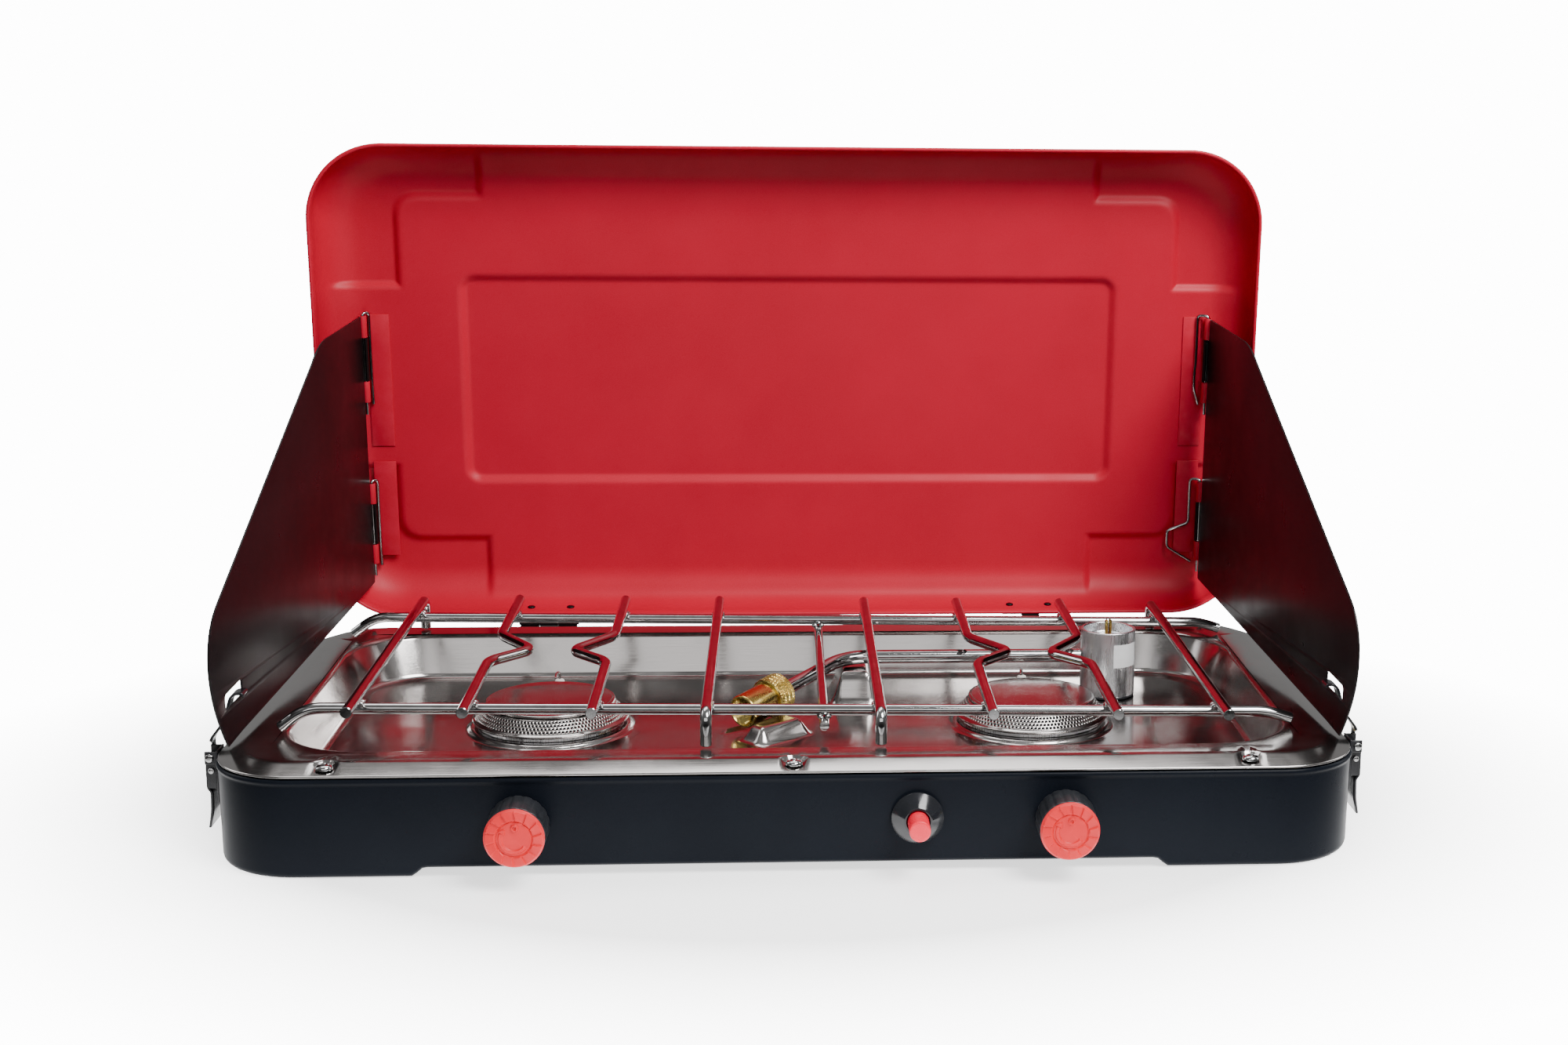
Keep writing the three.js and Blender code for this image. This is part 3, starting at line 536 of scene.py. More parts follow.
def make_camera():
    """About 50 mm, a metre in front of the stove, turned a little to its right and shifted back."""
    yaw, pitch, roll = (math.radians(CAMERA[a]) for a in ("yaw", "pitch", "roll"))
    ahead = Vector((math.sin(yaw) * math.cos(pitch), math.cos(yaw) * math.cos(pitch), -math.sin(pitch)))
    level = Vector((math.cos(yaw), -math.sin(yaw), 0))
    up = level.cross(ahead)
    right = level * math.cos(roll) + up * math.sin(roll)
    up = up * math.cos(roll) - level * math.sin(roll)
    camera = bpy.data.objects.new("camera", bpy.data.cameras.new("camera"))
    camera.data.sensor_width = CAMERA["sensor"]
    camera.data.lens = CAMERA["lens"]
    camera.data.shift_x, camera.data.shift_y = CAMERA["shift"]
    turn = Matrix((right, up, -ahead)).transposed()
    camera.matrix_world = Matrix.Translation(CAMERA["at"]) @ turn.to_4x4()
    add(camera)
    bpy.context.scene.camera = camera


def make_light(name, at, target, size, watts):
    lamp = bpy.data.lights.new(name, "AREA")
    lamp.shape = "RECTANGLE"
    lamp.size, lamp.size_y = size
    lamp.energy = watts
    light = bpy.data.objects.new(name, lamp)
    light.location = at
    light.rotation_euler = (Vector(target) - Vector(at)).to_track_quat("-Z", "Y").to_euler()
    add(light)


def make_world():
    """A white backdrop for the camera; the stove itself sees a dark room that brightens upwards."""
    world = bpy.data.worlds.new("studio")
    world.use_nodes = True
    tree = world.node_tree
    tree.nodes["Background"].inputs["Strength"].default_value = 1.0
    ray = tree.nodes.new("ShaderNodeNewGeometry")
    above = tree.nodes.new("ShaderNodeVectorMath")
    above.operation = "DOT_PRODUCT"
    above.inputs[1].default_value = (0, -0.45, -0.9)
    tree.links.new(ray.outputs["Incoming"], above.inputs[0])
    room = tree.nodes.new("ShaderNodeMapRange")
    for socket, value in (("From Min", -0.5), ("From Max", 1.0), ("To Min", 0.02), ("To Max", ROOM_LIGHT)):
        room.inputs[socket].default_value = value
    tree.links.new(above.outputs["Value"], room.inputs["Value"])
    seen = tree.nodes.new("ShaderNodeLightPath")
    choose = tree.nodes.new("ShaderNodeMix")
    choose.inputs["B"].default_value = BACKDROP_LIGHT
    tree.links.new(seen.outputs["Is Camera Ray"], choose.inputs["Factor"])
    tree.links.new(room.outputs["Result"], choose.inputs["A"])
    tree.links.new(choose.outputs["Result"], tree.nodes["Background"].inputs["Color"])
    bpy.context.scene.world = world


def make_floor():
    """A pale floor under the stove, which fades into the brighter backdrop around it; besides its real
    shadows it reads darker round the stove as painted shade.
    """
    bpy.ops.mesh.primitive_plane_add(size=40)
    floor = bpy.context.object
    floor.name = "floor"
    pale = Finish("pale_floor", Roughness=0.9, Specular_IOR_Level=0.2)
    pale.paint(pale.mix(pale.noise(400), (0.93, 0.93, 0.93), (0.95, 0.95, 0.95)))
    spread = pale.node("ShaderNodeMapping")
    spread.inputs["Scale"].default_value = (0.8, 1, 1)
    pale.link(pale.space, spread.inputs["Vector"])
    away = pale.node("ShaderNodeVectorMath", operation="LENGTH")
    pale.link(spread.outputs["Vector"], away.inputs[0])
    # Opaque near the stove and clear further out: the floor's grey against the white backdrop is painted
    # shade round the stove.
    pale.link(pale.between(away.outputs["Value"], 1, 0, 0.24, 0.42), pale.surface.inputs["Alpha"])
    pale.surface.inputs["Emission Color"].default_value = (1, 1, 1, 1)
    pale.surface.inputs["Emission Strength"].default_value = FLOOR_GLOW
    floor.data.materials.append(pale.material)


def make_studio():
    make_world()
    make_floor()
    make_light("key", (0.7, -0.85, 1.35), (0.05, 0.15, 0.25), (0.8, 0.8), 46)
    make_light("front", (0, -2, 0.9), (0, 0, 0.1), (2.4, 0.7), 9)
    make_light("top", (-0.2, 0.5, 1.9), (0, 0.1, 0.1), (1.6, 0.7), 16)
    make_light("left", (-1.7, 0.3, 0.9), (0, 0, 0.1), (0.7, 1.3), 9)
    make_light("right", (1.8, 0.4, 0.8), (0, 0, 0.1), (0.7, 1.3), 9)


# ---- base pan
def base_pan():
    bend, bend_steps, wall_steps, flat = BASE["bend"], 10, 6, 8
    bead = [(2.4, -0.9), (1.7, -0.2), (0.9, 0), (0.3, -0.4), (0, -1.2), (0.1, -2.0), (0.6, -2.6), (0.9, -3.4)]
    section = [(inset, BASE["top"] + down) for inset, down in bead]
    top, inset = BASE["top"] - BASE["bead"], bead[-1][0]
    for down in (k / wall_steps for k in range(wall_steps + 1)):
        section.append((inset + (BASE["draft"] - inset) * down, top + (bend - top) * down))
    section += [(BASE["draft"] + inwards, up) for inwards, up in quarter_bend(bend, bend_steps)[1:]]
    section.append((BASE["draft"] + bend + flat, 0))
    rings = [inset_rect(BASE, inset, 0.9, z) for inset, z in section]
    middle = (BASE["y0"] + BASE["y1"]) / 2

    def between_feet(x, y):
        """1 where the underside is raised in a cross between the four corner feet."""
        across = 1 - ease(abs(x), FOOT["x"] - FOOT["step"], FOOT["x"])
        along = 1 - ease(abs(y - middle), FOOT["half_depth"] - FOOT["step"], FOOT["half_depth"])
        return max(across, along)

    def relief(x, y, z):
        return z + FOOT["height"] * between_feet(x, y) * (1 - ease(z, 0, FOOT["fade"]))

    shape = pressed_skin(rings, (190, 100), 8, lambda x, y: relief(x, y, 0), relief)
    shell = make("base_shell", shape, "black_paint", "base", replaces=["base_pan"])
    thicken(shell, 1.1)


# ---- drip tray
def drip_tray():
    crest, edge, floor = TRAY["crest"], TRAY["edge"], TRAY["floor"]
    flange = rounded([(0.7, TRAY["lip"] + 0.1), (0, 52.4), (0.3, 53.3), (12, crest), (26, edge + 0.6)], 2.4)
    wall = rounded([(-6, edge + 0.3), (0, edge), (8.6, floor + 0.2), (RECESS["run"] + 4, floor)], 3.4, 7)
    rings = [inset_rect(TRAY, inset, 1, z) for inset, z in flange]
    rings += [inset_rect(RECESS, inset, 0.5, z) for inset, z in wall]

    def dimple(x, y, z):
        """Round seats pressed down for the screws in the front flange."""
        for sx in SCREW["x"]:
            away = math.hypot(x - sx, y - SCREW["y"])
            if z > TRAY["lip"] + 1.5:
                z += (SCREW["seat"] - z) * (1 - ease(away, *SCREW["dish"]))
        return z

    def floor_height(x, y):
        """The pressed floor is not quite flat."""
        warp = math.cos(x * 0.019 + 0.7) * math.cos(y * 0.027)
        return floor + TRAY["warp"] * max(0, warp)

    shape = pressed_skin(rings, (300, 130), 8, floor_height, dimple)
    sheet = make("tray_sheet", shape, "stainless", "base", replaces=["drip_tray"])
    thicken(sheet, 0.7)
    burner_collars()
    regulator_supports()


def burner_collars():
    floor = TRAY["floor"]
    section = rounded([(52, floor + 0.05), (46.6, floor + 0.15), (44.6, floor + 2.8), (38, floor + 3),
                       (35.6, floor + 3), (35.2, floor - 2)], 1.6)
    for side, s in SIDES:
        shape = moved(lathe(section, 120), (s * BURNER["x"], BURNER["y"], 0))
        make(f"tray_collar_{side}", shape, "stainless", "base")


def saddle_height(x, y, r):
    """The underside of a round bar of radius r along the coupling nut's axis, or None beside it."""
    ahead = PIPE_BEND - NUT_END
    level = Vector((ahead.x, ahead.y))
    slope = ahead.z / level.length
    level.normalize()
    spot = Vector((x - NUT_END.x, y - NUT_END.y))
    aside = spot.x * level.y - spot.y * level.x
    if abs(aside) >= r:
        return None
    return NUT_END.z + spot.dot(level) * slope - math.sqrt(r * r - aside * aside)


def regulator_supports():
    """Two raised rests, the front one with a groove that the coupling nut lies in."""
    floor = TRAY["floor"]
    foot = floor + 0.05
    for name, centre, half, top, turn, flank in RESTS:
        turned = Matrix.Rotation(math.radians(turn), 3, "Z")
        across, deep = 2 * half[0] + 4, 2 * half[1] + 4
        vertices = []
        for j in range(deep + 1):
            for i in range(across + 1):
                x, y = i - across / 2, j - deep / 2
                spot = turned @ Vector((x, y, 0)) + Vector((*centre, 0))
                inside = -box_distance(x, y, half[0], half[1], 7)
                z = foot + (top - floor) * ease(inside, -1.6, flank)
                groove = saddle_height(spot.x, spot.y, NUT_GROOVE) if name == "front" else None
                if groove is not None:
                    z = max(foot, soft_min(z, groove, 1.2))
                vertices.append(Vector((spot.x, spot.y, z)))
        wide = across + 1
        faces = [(k, k + 1, k + 1 + wide, k + wide) for j in range(deep)
                 for k in range(j * wide, j * wide + across)]
        make(f"tray_rest_{name}", (vertices, faces), "stainless", "base")


def tray_screws():
    """Pan-head screws with a cross recess."""
    head = [(4.3, 54.9), (4.3, 55.5), (3.9, 56.5), (2.9, 57.1), (1.5, 57.4), (0, 57.4)]
    cross, dome_foot = SCREW_CROSS, 55.8

    def cut(v):
        arm, reach = sorted((abs(v.x), abs(v.y)))
        if v.z < dome_foot or arm > cross["half_width"] or reach > cross["reach"]:
            return v
        return v.x, v.y, v.z - cross["depth"] * (1 - reach / cross["run_out"])

    dome = reshaped(lathe(rounded(head, 0.6, 4), 96), cut)
    screw = merge(dome, lathe([(0, 42), (2.2, 42), (2.2, 55)], 24))
    for x, name in zip(SCREW["x"], ("left", "middle", "right")):
        make(f"screw_{name}", moved(screw, (x, SCREW["y"], 0)), "nickel", "base",
             replaces=[f"tray_screw_{name}"])


# ---- grate
def wire_z(x):
    """The grate sits a little askew: its wires lie lower towards the right."""
    return WIRE["z"] + GRATE_SLANT * x


def rail_z(x):
    return wire_z(x) - 2 * WIRE["r"] - 0.3


def rod_path(kind, x, s):
    front, rear, z = WIRE["front"], WIRE["rear"], wire_z(x)
    if kind == "rear_leg":
        return [(x, front, z), (x, rear, z), (x, rear, WIRE["legs"])]
    if kind == "front_leg":
        return [(x, front + 2, 56.8), (x, front + 2, z), (x, rear + 1, z)]
    tip = x + s * 21
    y = BURNER["y"]
    return [(x, front, z), (x, y - 27, z), (tip, y - 2, z), (x, y + 31, z), (x, rear + 1, z)]


def grate():
    brace_x, brace_r = 16, 2.6
    brace_z = rail_z(brace_x) - WIRE["r"] - brace_r - 0.3
    reach, bend, foot = RAIL_END
    crossings = []
    for name, y in (("front", WIRE["rail_front"]), ("rear", WIRE["rail_rear"])):
        path = rounded([(-reach, y, foot), (-bend, y, rail_z(-bend)), (bend, y, rail_z(bend)),
                        (reach, y, foot)], 9, 8)
        make(f"rail_{name}", sweep(path, WIRE["r"], 28), "nickel", "grate", replaces=[f"grate_rail_{name}"])
        crossings.append((brace_x, y, brace_z + brace_r + 0.2))
    brace = sweep([(brace_x, y, brace_z) for y in (53, 150, 263)], brace_r, 24)
    make("brace", brace, "nickel", "grate", replaces=["grate_brace"])
    for side, s in SIDES:
        kinds = (("rear_leg", 0), ("kinked", -s), ("kinked", s), ("front_leg", 0))
        for i, (kind, towards) in enumerate(kinds):
            x = s * ROD_X[i]
            path = rounded(rod_path(kind, x, towards), 7, 8)
            make(f"rod_{side}_{i + 1}", sweep(path, WIRE["r"], 28), "nickel", "grate",
                 replaces=[f"grate_rod_{side}_{i + 1}"])
            crossings += [(x, y, wire_z(x) - 3.15) for y in (WIRE["rail_front"], WIRE["rail_rear"])]
    grate_welds(crossings)


def grate_welds(crossings):
    """Small uneven beads where the wires cross."""
    random.seed(7)
    latitudes = [math.radians(d) for d in range(-67, 68, 22)]
    ball = lathe([(0, -1), *((math.cos(a), math.sin(a)) for a in latitudes), (0, 1)], 14)
    beads = []
    for x, y, z in crossings:
        for dx, dy in ((-2.1, -1.6), (2.1, 1.6), (2.0, -1.7), (-2.0, 1.7)):
            size = random.uniform(1.5, 2.1)
            spot = Vector((x, y, z))
            lump = reshaped(ball, lambda v: v * (size * (1 + 0.2 * noise.noise(v * 1.7 + spot))))
            flat = reshaped(lump, lambda v: (v.x, v.y, v.z * 0.75))
            beads.append(moved(flat, (x + dx, y + dy, z)))
    make("grate_welds", merge(*beads), "nickel", "grate")


# ---- burners
def perforated_band(low, high, rows, count):
    """A cone from low to high, both (radius, z), with staggered rows of round holes."""
    hole = 0.3
    vertices, faces, index = [], [], {}
    low, high = Vector(low), Vector(high)

    def spot(turn, up):
        edge = low.lerp(high, up)
        return polar(edge.x, 2 * math.pi * turn / count, edge.y)

    def vertex(turn, up):
        key = (round(turn * 2) % (2 * count), round(up * 2))
        if key not in index:
            index[key] = len(vertices)
            vertices.append(spot(turn, up / rows))
        return index[key]

    ring = ((-1, -1), (0, -1), (1, -1), (1, 0), (1, 1), (0, 1), (-1, 1), (-1, 0))
    for row in range(rows):
        for k in range(count):
            turn, up = k + 0.5 * (row % 2), row + 0.5
            outside = [vertex(turn + 0.5 * dx, up + 0.5 * dy) for dx, dy in ring]
            start = len(vertices)
            for dx, dy in ring:
                reach = hole / math.hypot(dx, dy)
                vertices.append(spot(turn + dx * reach, (up + dy * reach) / rows))
            for i in range(8):
                n = (i + 1) % 8
                faces.append((outside[i], outside[n], start + n, start + i))
    return vertices, faces


def burners():
    """Each a perforated ring under a cap, over a throat painted black as painted shade, so that it looks dark
    through the holes.
    """
    foot, neck = (41.9, 37.9), (36.8, 44.0)
    lip = rounded([(38.4, 35.4), (43.4, 35.4), (43.9, 36.7), (42.3, 37.5), foot], 0.8, 5)
    shoulder = rounded([neck, (36.2, 44.5), (34.2, 44.6)], 0.5, 4)
    ring = merge(lathe(lip, 240), perforated_band(foot, neck, 4, 120), lathe(shoulder, 240))
    cap = lathe(rounded([(28.5, 40), (28.5, 44.9), (35.6, 44.7), (36.4, 45.4), (36.1, 46.5), (34.6, 46.9),
                         (27, 47), (0, 46.9)], 0.7, 5), 128)
    throat = lathe(rounded([(0, 34), (33.5, 34), (35.5, 37), (35.5, 43)], 1, 3), 64)
    for side, s in SIDES:
        at = (s * BURNER["x"], BURNER["y"], 0)
        sheet = make(f"flame_ring_{side}", moved(ring, at), "stainless", "base",
                     replaces=[f"burner_ring_{side}"])
        thicken(sheet, 0.5)
        make(f"flame_cap_{side}", moved(cap, at), "stainless", "base", replaces=[f"burner_cap_{side}"])
        # Painted shade: the throat takes black paint instead of its aluminium, so the holes read dark.
        make(f"painted_shade_throat_{side}", moved(throat, at), "aluminium", "base",
             finish=MATERIALS["black_paint"])
        electrode(side, s)


def electrode(side, s):
    at = (s * BURNER["x"], BURNER["y"] + BURNER["spark"], 0)
    post = lathe(rounded([(0, 16), (2.9, 16), (2.9, 42.6), (2.3, 43.8), (0, 44)], 0.7, 4), 40)
    make(f"spark_post_{side}", moved(post, at), "ceramic", "base", replaces=[f"igniter_electrode_{side}"])
    hooked = rounded([(0, 0, 43), (0, 0, 48.4), (-1.4, -4.6, 48.6), (-1.6, -8.8, 46.6)], 2, 6)
    make(f"spark_wire_{side}", moved(sweep(hooked, 0.7, 14, 0.15), at), "nickel", "base")


# ---- controls
def facing_front(x, z):
    """From a lathe's own space, whose axis points to the viewer, to the stove's front."""
    return lambda p: place((x + p[0], -p[2], z + p[1]))


def knob_face_height(r, a):
    """Wedge facets round the rim, a groove, a small ring and a curved arrow."""
    raised, arrow = KNOB["raised"], KNOB_ARROW
    wedge = (a * KNOB["wedges"] / (2 * math.pi) - r * 0.035) % 1
    rim = ease(r, 8.9, 9.6) * (1 - ease(r, 13.6, 14.7))
    height = 0.95 * wedge * rim * (1 - ease(wedge, 0.93, 1))
    height -= 0.45 * math.exp(-((r - 8.8) / 0.28) ** 2)
    height -= 1.1 * ease(r, 13.9, 14.75)
    x, y = r * math.cos(a), r * math.sin(a)
    eyelet = math.hypot(x - 0.4, y - 5.6)
    height += raised * (1 - ease(abs(eyelet - 1.3), 0.25, 0.55))
    turn, aside = math.degrees(a) % 360, abs(r - arrow["r"])
    along = ease(turn, *arrow["neck"]) * (1 - ease(turn, *arrow["tail"]))
    height += raised * along * (1 - ease(aside, arrow["half_width"], arrow["half_width"] + 0.25))
    head = (turn - arrow["tip"]) / arrow["head"]
    if 0 < head < 1:
        height += raised * (1 - ease(aside, 1.7 * head, 1.7 * head + 0.3))
    return height


def knobs():
    """Fluted black grips with a moulded red face."""
    grip = rounded([(3.3, 1.8), (14.6, 1.6), (15.2, 2.4), (14.9, 20.4), (3, 20.6)], 0.5, 4)
    fluted = lathe(grip, 240, lambda a, z, r: -0.022 * (abs(math.cos(9 * a)) ** 6) if r > 13 else 0)
    count = 280
    radii = [0.01] + [0.3 * i for i in range(1, 48)] + [14.25, 14.45, 14.6, 14.7]
    rim = ((14.8, 22.2), (14.75, 21.5), (14.4, 21.0), (9, 20.9))
    vertices = [polar(r, a, KNOB["face"] + knob_face_height(r, a)) for r in radii for a in turns(count)]
    vertices += [polar(r, a, z) for r, z in rim for a in turns(count)]
    faces = bands(count, len(radii) + len(rim)) + [tuple(range(count))]
    for side, s in SIDES:
        at = facing_front(s * KNOB["x"], KNOB["z"])
        make(f"knob_grip_{side}", fluted, "black_plastic", f"knob_{side}", at,
             replaces=[f"knob_skirt_{side}"])
        make(f"knob_cap_{side}", (vertices, faces), "red_plastic", f"knob_{side}", at,
             replaces=[f"knob_face_{side}"], sharp=30)


def igniter():
    at = facing_front(IGNITER["x"], IGNITER["z"])
    gloss = moulded("gloss_black_moulding", (0.008, 0.009, 0.011), (0.012, 0.013, 0.016),
                    (0.1, 0.17), 0.9, 0.015)
    bezel = rounded([(5.9, -0.2), (13.2, -0.2), (13.3, 1.1), (7, 7.3), (5.9, 7.4), (5.8, 3)], 0.35, 4)
    make("igniter_collar", lathe(bezel, 96), "black_plastic", "base", at,
         replaces=["igniter_bezel"], finish=gloss)
    button = rounded([(0, -6), (5.3, -6), (5.3, 21.7), (4.6, 22), (0, 22)], 0.45, 5)
    bright = moulded("red_button_moulding", (0.8, 0.006, 0.03), (0.86, 0.008, 0.036), (0.25, 0.36))
    make("push_button", lathe(button, 72), "red_plastic", "igniter_button", at,
         replaces=["igniter_button"], finish=bright)


# ---- regulator
def regulator():
    x, y, r, bottom, top = CAPSULE.values()
    at = (x, y, 0)
    can = rounded([(0, bottom), (r, bottom), (r, top), (r - 1.6, top), (r - 2.4, top - 6), (5, top - 8),
                   (0, top - 8)], 1.3, 6)
    make("capsule", moved(lathe(can, 128), at), "aluminium", "regulator", replaces=["regulator_capsule"])
    seal = rounded([(r - 3, 30.4), (r - 0.2, 30.4), (r + 0.1, 31.4), (r - 0.6, 32)], 0.4, 3)
    make("capsule_seal", moved(lathe(seal, 96), at), "black_plastic", "regulator")
    pin = rounded([(0, top - 8), (5, top - 8), (5, top - 6.6), (2.6, top - 6), (2.1, top - 5),
                   (2.1, top + 4.6), (1.5, top + 5), (0, top + 5)], 0.3, 3)
    slotted = reshaped(lathe(pin, 72), lambda v: (
        v.x, v.y, v.z - 9 if v.z > top + 4 and abs(v.x) < 0.45 else v.z))
    make("capsule_pin", moved(slotted, at), "brass", "regulator", replaces=["regulator_pin"])
    label = reshaped(strip(arc(0, 0, r + 0.06, -86, -22, 24), 50, 64), lambda v: (v.x, v.z, v.y))
    make("capsule_label", moved(label, at), "aluminium", "regulator", finish=MATERIALS["label"])
    towards = (PIPE_BEND - NUT_END).normalized()
    path = rounded([(x - r - 0.1, y, PIPE_BEND.z), PIPE_BEND, NUT_END + towards * (NUT_BARREL - 3)], 15, 14)
    make("pipe", sweep(path, 4.1, 32), "nickel", "regulator", replaces=["regulator_pipe"])
    coupling_nut(towards)


def coupling_nut(towards):
    """A threaded barrel and a knurled collar, drawn along Z and then laid along the pipe."""
    pitch = 1.4
    threads = []
    for i in range(12):
        threads += [(7.6, 1.2 + pitch * i), (6.9, 1.9 + pitch * i)]
    barrel = rounded([(9, 0), (9.6, 0.8), (9.6, NUT_BARREL), (7.5, NUT_BARREL)], 0.3, 3)
    bore = [(7.1, 19), (0, 19)]
    shell = lathe([*reversed(barrel), (8.2, 0), *threads, *bore], 96)
    low, high = NUT_BARREL + 0.8, NUT_BARREL + 11.4

    def knurl(a, z, r):
        if r < 11.2 or not low - 0.2 < z < high + 0.2:
            return 0
        cut = max(abs(math.sin(22 * a + 2.4 * z)), abs(math.sin(22 * a - 2.4 * z)))
        return -0.05 * cut ** 3

    rows = [(11.5, low + (high - low) * i / 42) for i in range(43)]
    ends = ((7.5, NUT_BARREL - 0.2), (10.4, NUT_BARREL - 0.2), (11.2, NUT_BARREL + 0.4))
    collar = lathe([*ends, *rows, (11, high + 0.4), (10.2, high + 0.6), (4.4, high + 0.6)], 264, knurl)
    turn = Vector((0, 0, 1)).rotation_difference(towards).to_matrix()
    make("coupling_nut", moved(merge(shell, collar), NUT_END, turn), "brass", "regulator_nut",
         replaces=["regulator_nut"], sharp=24)


# ---- lid
def panel_relief(x, h):
    """How far the lid's panel stands towards the cook: raised except in its corners and centre."""
    x = abs(x)
    blend = PANEL_CORNERS["blend"]
    upper = [max(cx - x, ch - h) for cx, ch in PANEL_CORNERS["upper"]]
    lower = [max(cx - x, h - ch) for cx, ch in PANEL_CORNERS["lower"]]
    field = ease(min(soft_min(*upper, blend), soft_min(*lower, blend)), -2.6, 2.6)
    centre = box_distance(x, h - PANEL_CENTRE["height"], *PANEL_CENTRE["half"], PANEL_CENTRE["corner"])
    return LID["raised"] * (field - 1.1 * (1 - ease(centre, -4, 2)))


def lid():
    wall, half_height = 1.2, LID["y1"] / 2
    rim = [math.radians(d) for d in range(-20, -221, -20)]
    section = [(1.15 + 1.15 * math.cos(a), 1.3 + 1.3 * math.sin(a)) for a in rim] + [(wall, 3.6), (wall, 6)]
    section += [(wall + inwards, LID["depth"] - up) for inwards, up in quarter_bend(LID["bend"], 20)]
    rings = [inset_rect(LID, inset, 0.75, depth) for inset, depth in section]

    def relief(x, h, depth):
        inside = -box_distance(x, h - half_height, LID["x"], half_height, LID["corner"])
        return depth - panel_relief(x, h) * ease(inside, 3, 15)

    shape = pressed_skin(rings, (400, 190), 12, lambda x, h: relief(x, h, LID["depth"]), relief)
    sheet = make("lid_sheet", shape, "red_paint", "lid", lid_place, replaces=["lid_shell"])
    thicken(sheet, 1.0)
    lid_rivets()


def lid_rivets():
    """Rivet heads of the lid's hinges, standing on its lower wall."""
    head = lathe(rounded([(0, 0), (2.4, 0), (2.3, 0.9), (1.2, 1.4), (0, 1.4)], 0.5, 4), 40)
    for side, s in SIDES:
        for name, aside in (("inner", -LID_RIVETS["apart"]), ("outer", LID_RIVETS["apart"])):
            x = s * LID_RIVETS["x"] + aside
            upright = reshaped(head, lambda v: (v.x, v.z, v.y))
            seated = moved(upright, (x, LID_RIVETS["up"], LID_RIVETS["back"]))
            make(f"lid_rivet_{side}_{name}", seated, "black_steel", "lid", lid_place)


# ---- windscreens and their hinges
def screen_place(s):
    """From a screen's own space: distance out from its pins, height up the lid, distance outwards."""
    flare = math.radians(WING["flare"])
    sine, cosine = math.sin(flare), math.cos(flare)
    return lambda p: lid_place((s * (WING["x"] + p[0] * sine + p[2] * cosine), p[1],
                                WING["depth"] - p[0] * cosine + p[2] * sine))


def pin_place(s):
    """From a hinge's own space: distance outwards from its pin, height up the lid, depth back."""
    return lambda p: lid_place((s * (WING["x"] + p[0]), p[1], WING["depth"] + p[2]))


def bezier(start, control, end, steps=14):
    a, b, c = (Vector(p) for p in (start, control, end))
    parts = [i / steps for i in range(1, steps + 1)]
    return [a * (1 - t) ** 2 + b * 2 * t * (1 - t) + c * t ** 2 for t in parts]


def screen_outline():
    path = [Vector((3.6, 17.5)), Vector((262, 16.4)), Vector((283, 15.6))]
    path += bezier(path[-1], (303, 42), (303, 62))
    path += bezier(path[-1], (303, 83), (284, 92))
    path.append(Vector((106, 178)))
    path += bezier(path[-1], (92, 186.5), (76, 187))
    path.append(Vector((3.6, 187)))
    return path


def screen_slot():
    """The hole that the side latch's hook catches."""
    x0, x1, y0, y1, r = 258, 284, 35, 43.5, 2.2
    corners = ((x1 - r, y0 + r, -90), (x1 - r, y1 - r, 0), (x0 + r, y1 - r, 90), (x0 + r, y0 + r, 180))
    return [Vector(p) for cx, cy, start in corners for p in arc(cx, cy, r, start, start + 90, 5)]


def windscreens():
    loops = [[Vector((*p, 0)) for p in loop] for loop in (screen_outline(), screen_slot())]
    triangles = [tuple(t) for t in tessellate_polygon(loops)]
    flat = [p + Vector((0, 0, WING["t"] / 2)) for loop in loops for p in loop]
    rolled = [(9, 0.45), (3.4, 0.45)] + arc(0, 0, WING["knuckle"], 12, 322, 26)
    for side, s in SIDES:
        at = screen_place(s)
        body = f"windscreen_{side}"
        sheet = make(f"screen_{side}", (flat, triangles), "black_steel", body, at, replaces=[body])
        thicken(sheet, WING["t"], 0)
        bevel(sheet, 0.3)
        for hinge in SCREEN_HINGES:
            knuckle = strip(rolled, *hinge["knuckles"][1], 2)
            roll = make(f"screen_knuckle_{side}_{hinge['name']}", knuckle, "black_steel", body, at)
            thicken(roll, 0.8, 0)
            bevel(roll, 0.18)


def screen_hinges():
    """On the lid: a painted leaf with two rolled knuckles, and the bright sprung pin through them."""
    seat = LID["depth"] - 1 - LID["raised"] - 0.5 - WING["depth"]
    plate, r = [(-15, seat), (-1.2, seat)], WING["knuckle"]
    roll = rounded([(-4, seat), (1.6, seat), (r, 3.4), (r, 0)], 1.6, 5) + arc(0, 0, r, -8, -290, 24)
    for side, s in SIDES:
        at = pin_place(s)
        for hinge in SCREEN_HINGES:
            name = f"{side}_{hinge['name']}"
            parts = [strip(plate, *hinge["leaf"], 4)]
            parts += [strip(roll, *hinge["knuckles"][i], 2) for i in (0, 2)]
            leaf = make(f"hinge_leaf_{name}", merge(*parts), "red_paint", "lid", at,
                        replaces=[f"screen_hinge_leaf_{name}"])
            thicken(leaf, 0.8, 0)
            bevel(leaf, 0.2)
            spring_pin(name, at, hinge, hinge["bow"] if s > 0 else 3.2)


def spring_pin(name, at, hinge, bow):
    (first, _), (middle, _), (_, last) = hinge["knuckles"]
    low, high, back = first - 8, last + 1.5, 2.9
    arm = min(6.3, bow)
    path = rounded([(0, low, 0), (0, high, 0), (-arm, high, back), (-arm, middle + 11, back),
                    (-bow, middle + 6, back), (-bow, first + 8, back), (-3.5, first - 2, back)], 2.6, 6)
    make(f"spring_pin_{name}", sweep(path, 1.0, 18, 0.3), "nickel", "lid", at,
         replaces=[f"screen_hinge_pin_{name}"])


# ---- side latches
def latch_place(s):
    """From a latch's own space: distance outwards from the pivot, distance back from it, height."""
    return lambda p: place((s * (LATCH["x"] + p[0]), LATCH["y"] + p[1], LATCH["z"] + p[2]))


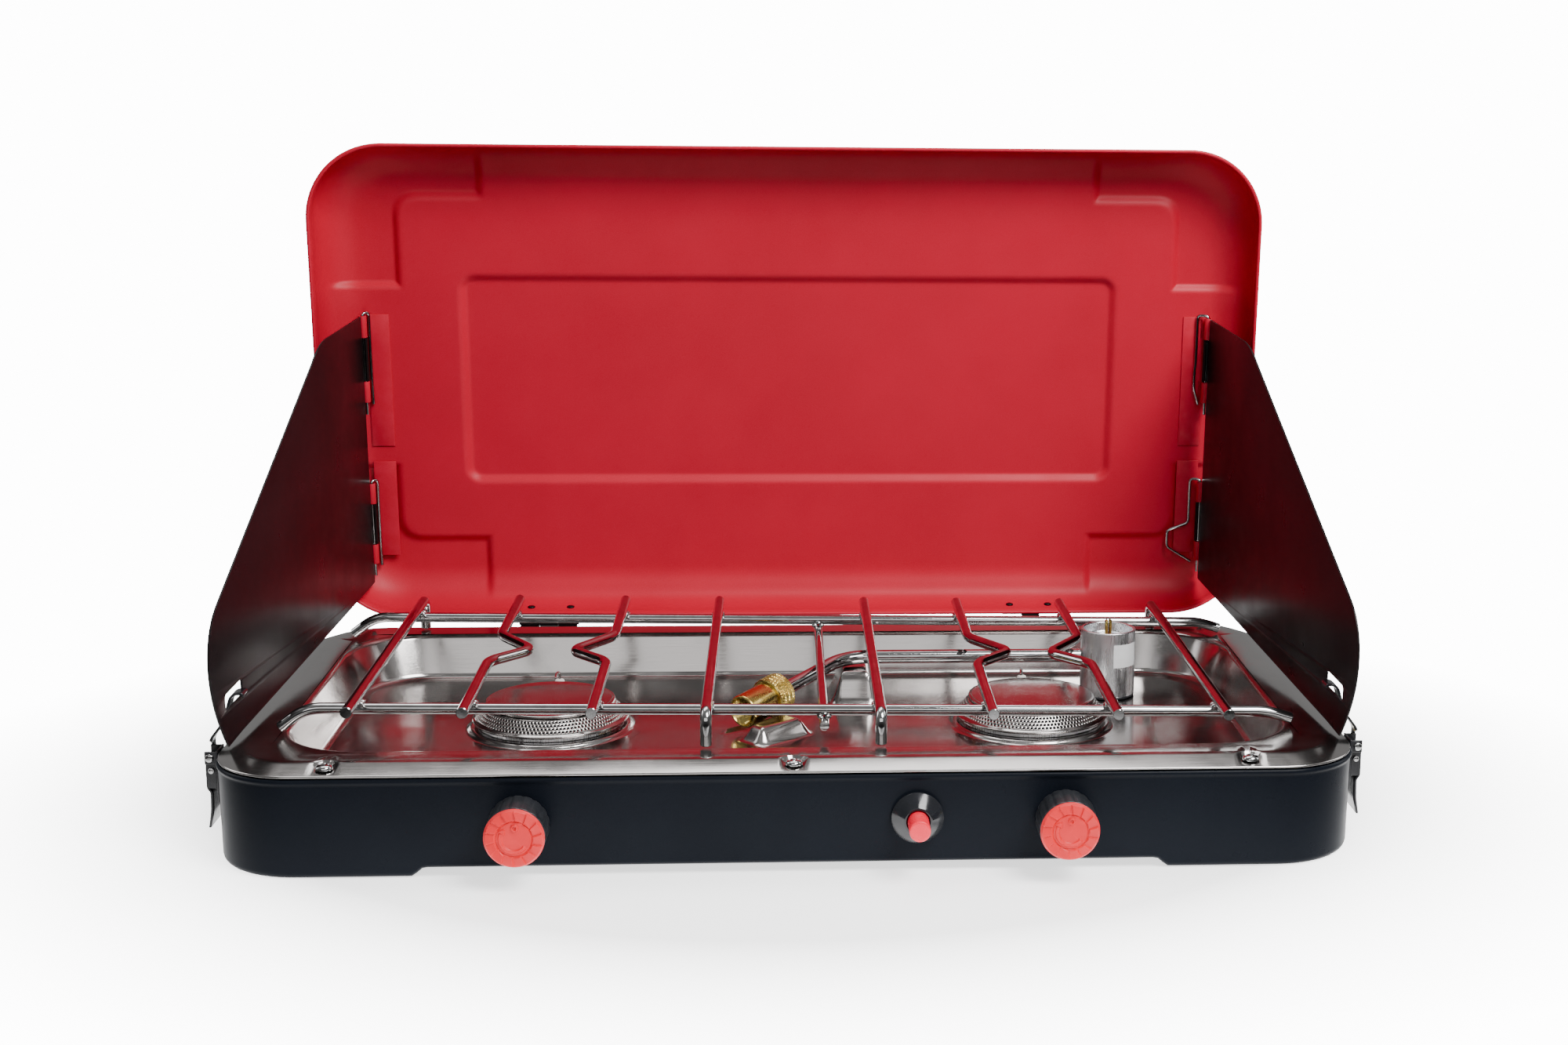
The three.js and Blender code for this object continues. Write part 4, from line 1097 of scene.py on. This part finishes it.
def rivet(r, front, height):
    """A domed head that faces the stove's front."""
    rise = 1.1
    head = lathe(rounded([(0, 0), (r, 0), (r * 0.9, 0.7), (r * 0.5, rise), (0, rise)], 0.4, 4), 36)
    return reshaped(head, lambda v: (v.x, front + rise - v.z, height + v.y))


def widened(sheet, fixed, extra, heights):
    """A strip that grows wider from one edge, by extra times its width, between two heights."""
    def spread(v):
        return v.x, fixed + (v.y - fixed) * (1 + extra * ease(v.z, *heights)), v.z

    return reshaped(sheet, spread)


def lever_shape():
    """A narrow neck between the cheeks, and a blade below it that is wider towards the back."""
    front, back = -6, 3.6
    bent = rounded([(-1.8, -0.8), (2.4, -0.8), (2.4, -17), (0.6, -19), (1, -30), (2.4, -38)], 1.6, 6)
    return widened(strip(bent, front, back, 6), front, 1.28, (-18.5, -21.5))


def latches():
    """On each side a bracket with a rivet, a lever with two cheeks, and a hook with its own rivet."""
    black = MATERIALS["black_gloss"]
    drop, hook_front, hook_back = -LATCH["drop"], 5.4, 10.4
    hook = rounded([(0, -8.6), (1.6, -5.4), (2, 6.4), (-5.8, 16.5), (-9.2, 28.7), (-11.4, 30.8), (-15.4, 31),
                    (-15.7, 29.4)], 3, 6)
    for side, s in SIDES:
        at = latch_place(s)
        ears = [block(-3.6, 2.5, y, y + 1.1, -3.3, 3.3) for y in (-9, 3.8)]
        bracket = merge(block(-4.1, -3.1, -9, 5, -23.5, 3.5), *ears)
        plate = make(f"latch_plate_{side}", bracket, "black_steel", "base", at,
                     replaces=[f"latch_bracket_{side}"], finish=black)
        bevel(plate, 0.35)
        make(f"latch_rivet_{side}", rivet(2.3, -10.1, 0), "nickel", "base", at)
        lever_body = f"latch_lever_{side}"
        lever = make(f"latch_handle_{side}", lever_shape(), "black_steel", lever_body, at,
                     replaces=[lever_body], finish=black)
        thicken(lever, 1.2, 0)
        bevel(lever, 0.3)
        sides = merge(*[block(-2.4, 2.4, y, y + 1, -17, -0.6) for y in (-6, 2.6)])
        cheeks = make(f"latch_cheeks_{side}", sides, "black_steel", lever_body, at, finish=black)
        bevel(cheeks, 0.3)
        hook_body = f"latch_hook_{side}"
        strap = widened(strip(hook, hook_front, hook_back, 4), hook_back, 1.05, (4, 6))
        bar = make(f"latch_strap_{side}", strap, "black_steel", hook_body, at,
                   replaces=[hook_body], finish=black)
        thicken(bar, 1.3, 0)
        bevel(bar, 0.35)
        pin = lathe([(0, -7.4), (1.4, -7.4), (1.4, 10.2), (0, 10.2)], 28)
        shaft = reshaped(pin, lambda v: (v.x, v.z, drop + v.y))
        make(f"hook_rivet_{side}", merge(rivet(1.7, -7.6, drop), shaft), "nickel", hook_body, at)


# ---- the whole scene
make_camera()
make_studio()
dress_cad_nodes()
base_pan()
drip_tray()
tray_screws()
grate()
burners()
knobs()
igniter()
regulator()
lid()
windscreens()
screen_hinges()
latches()
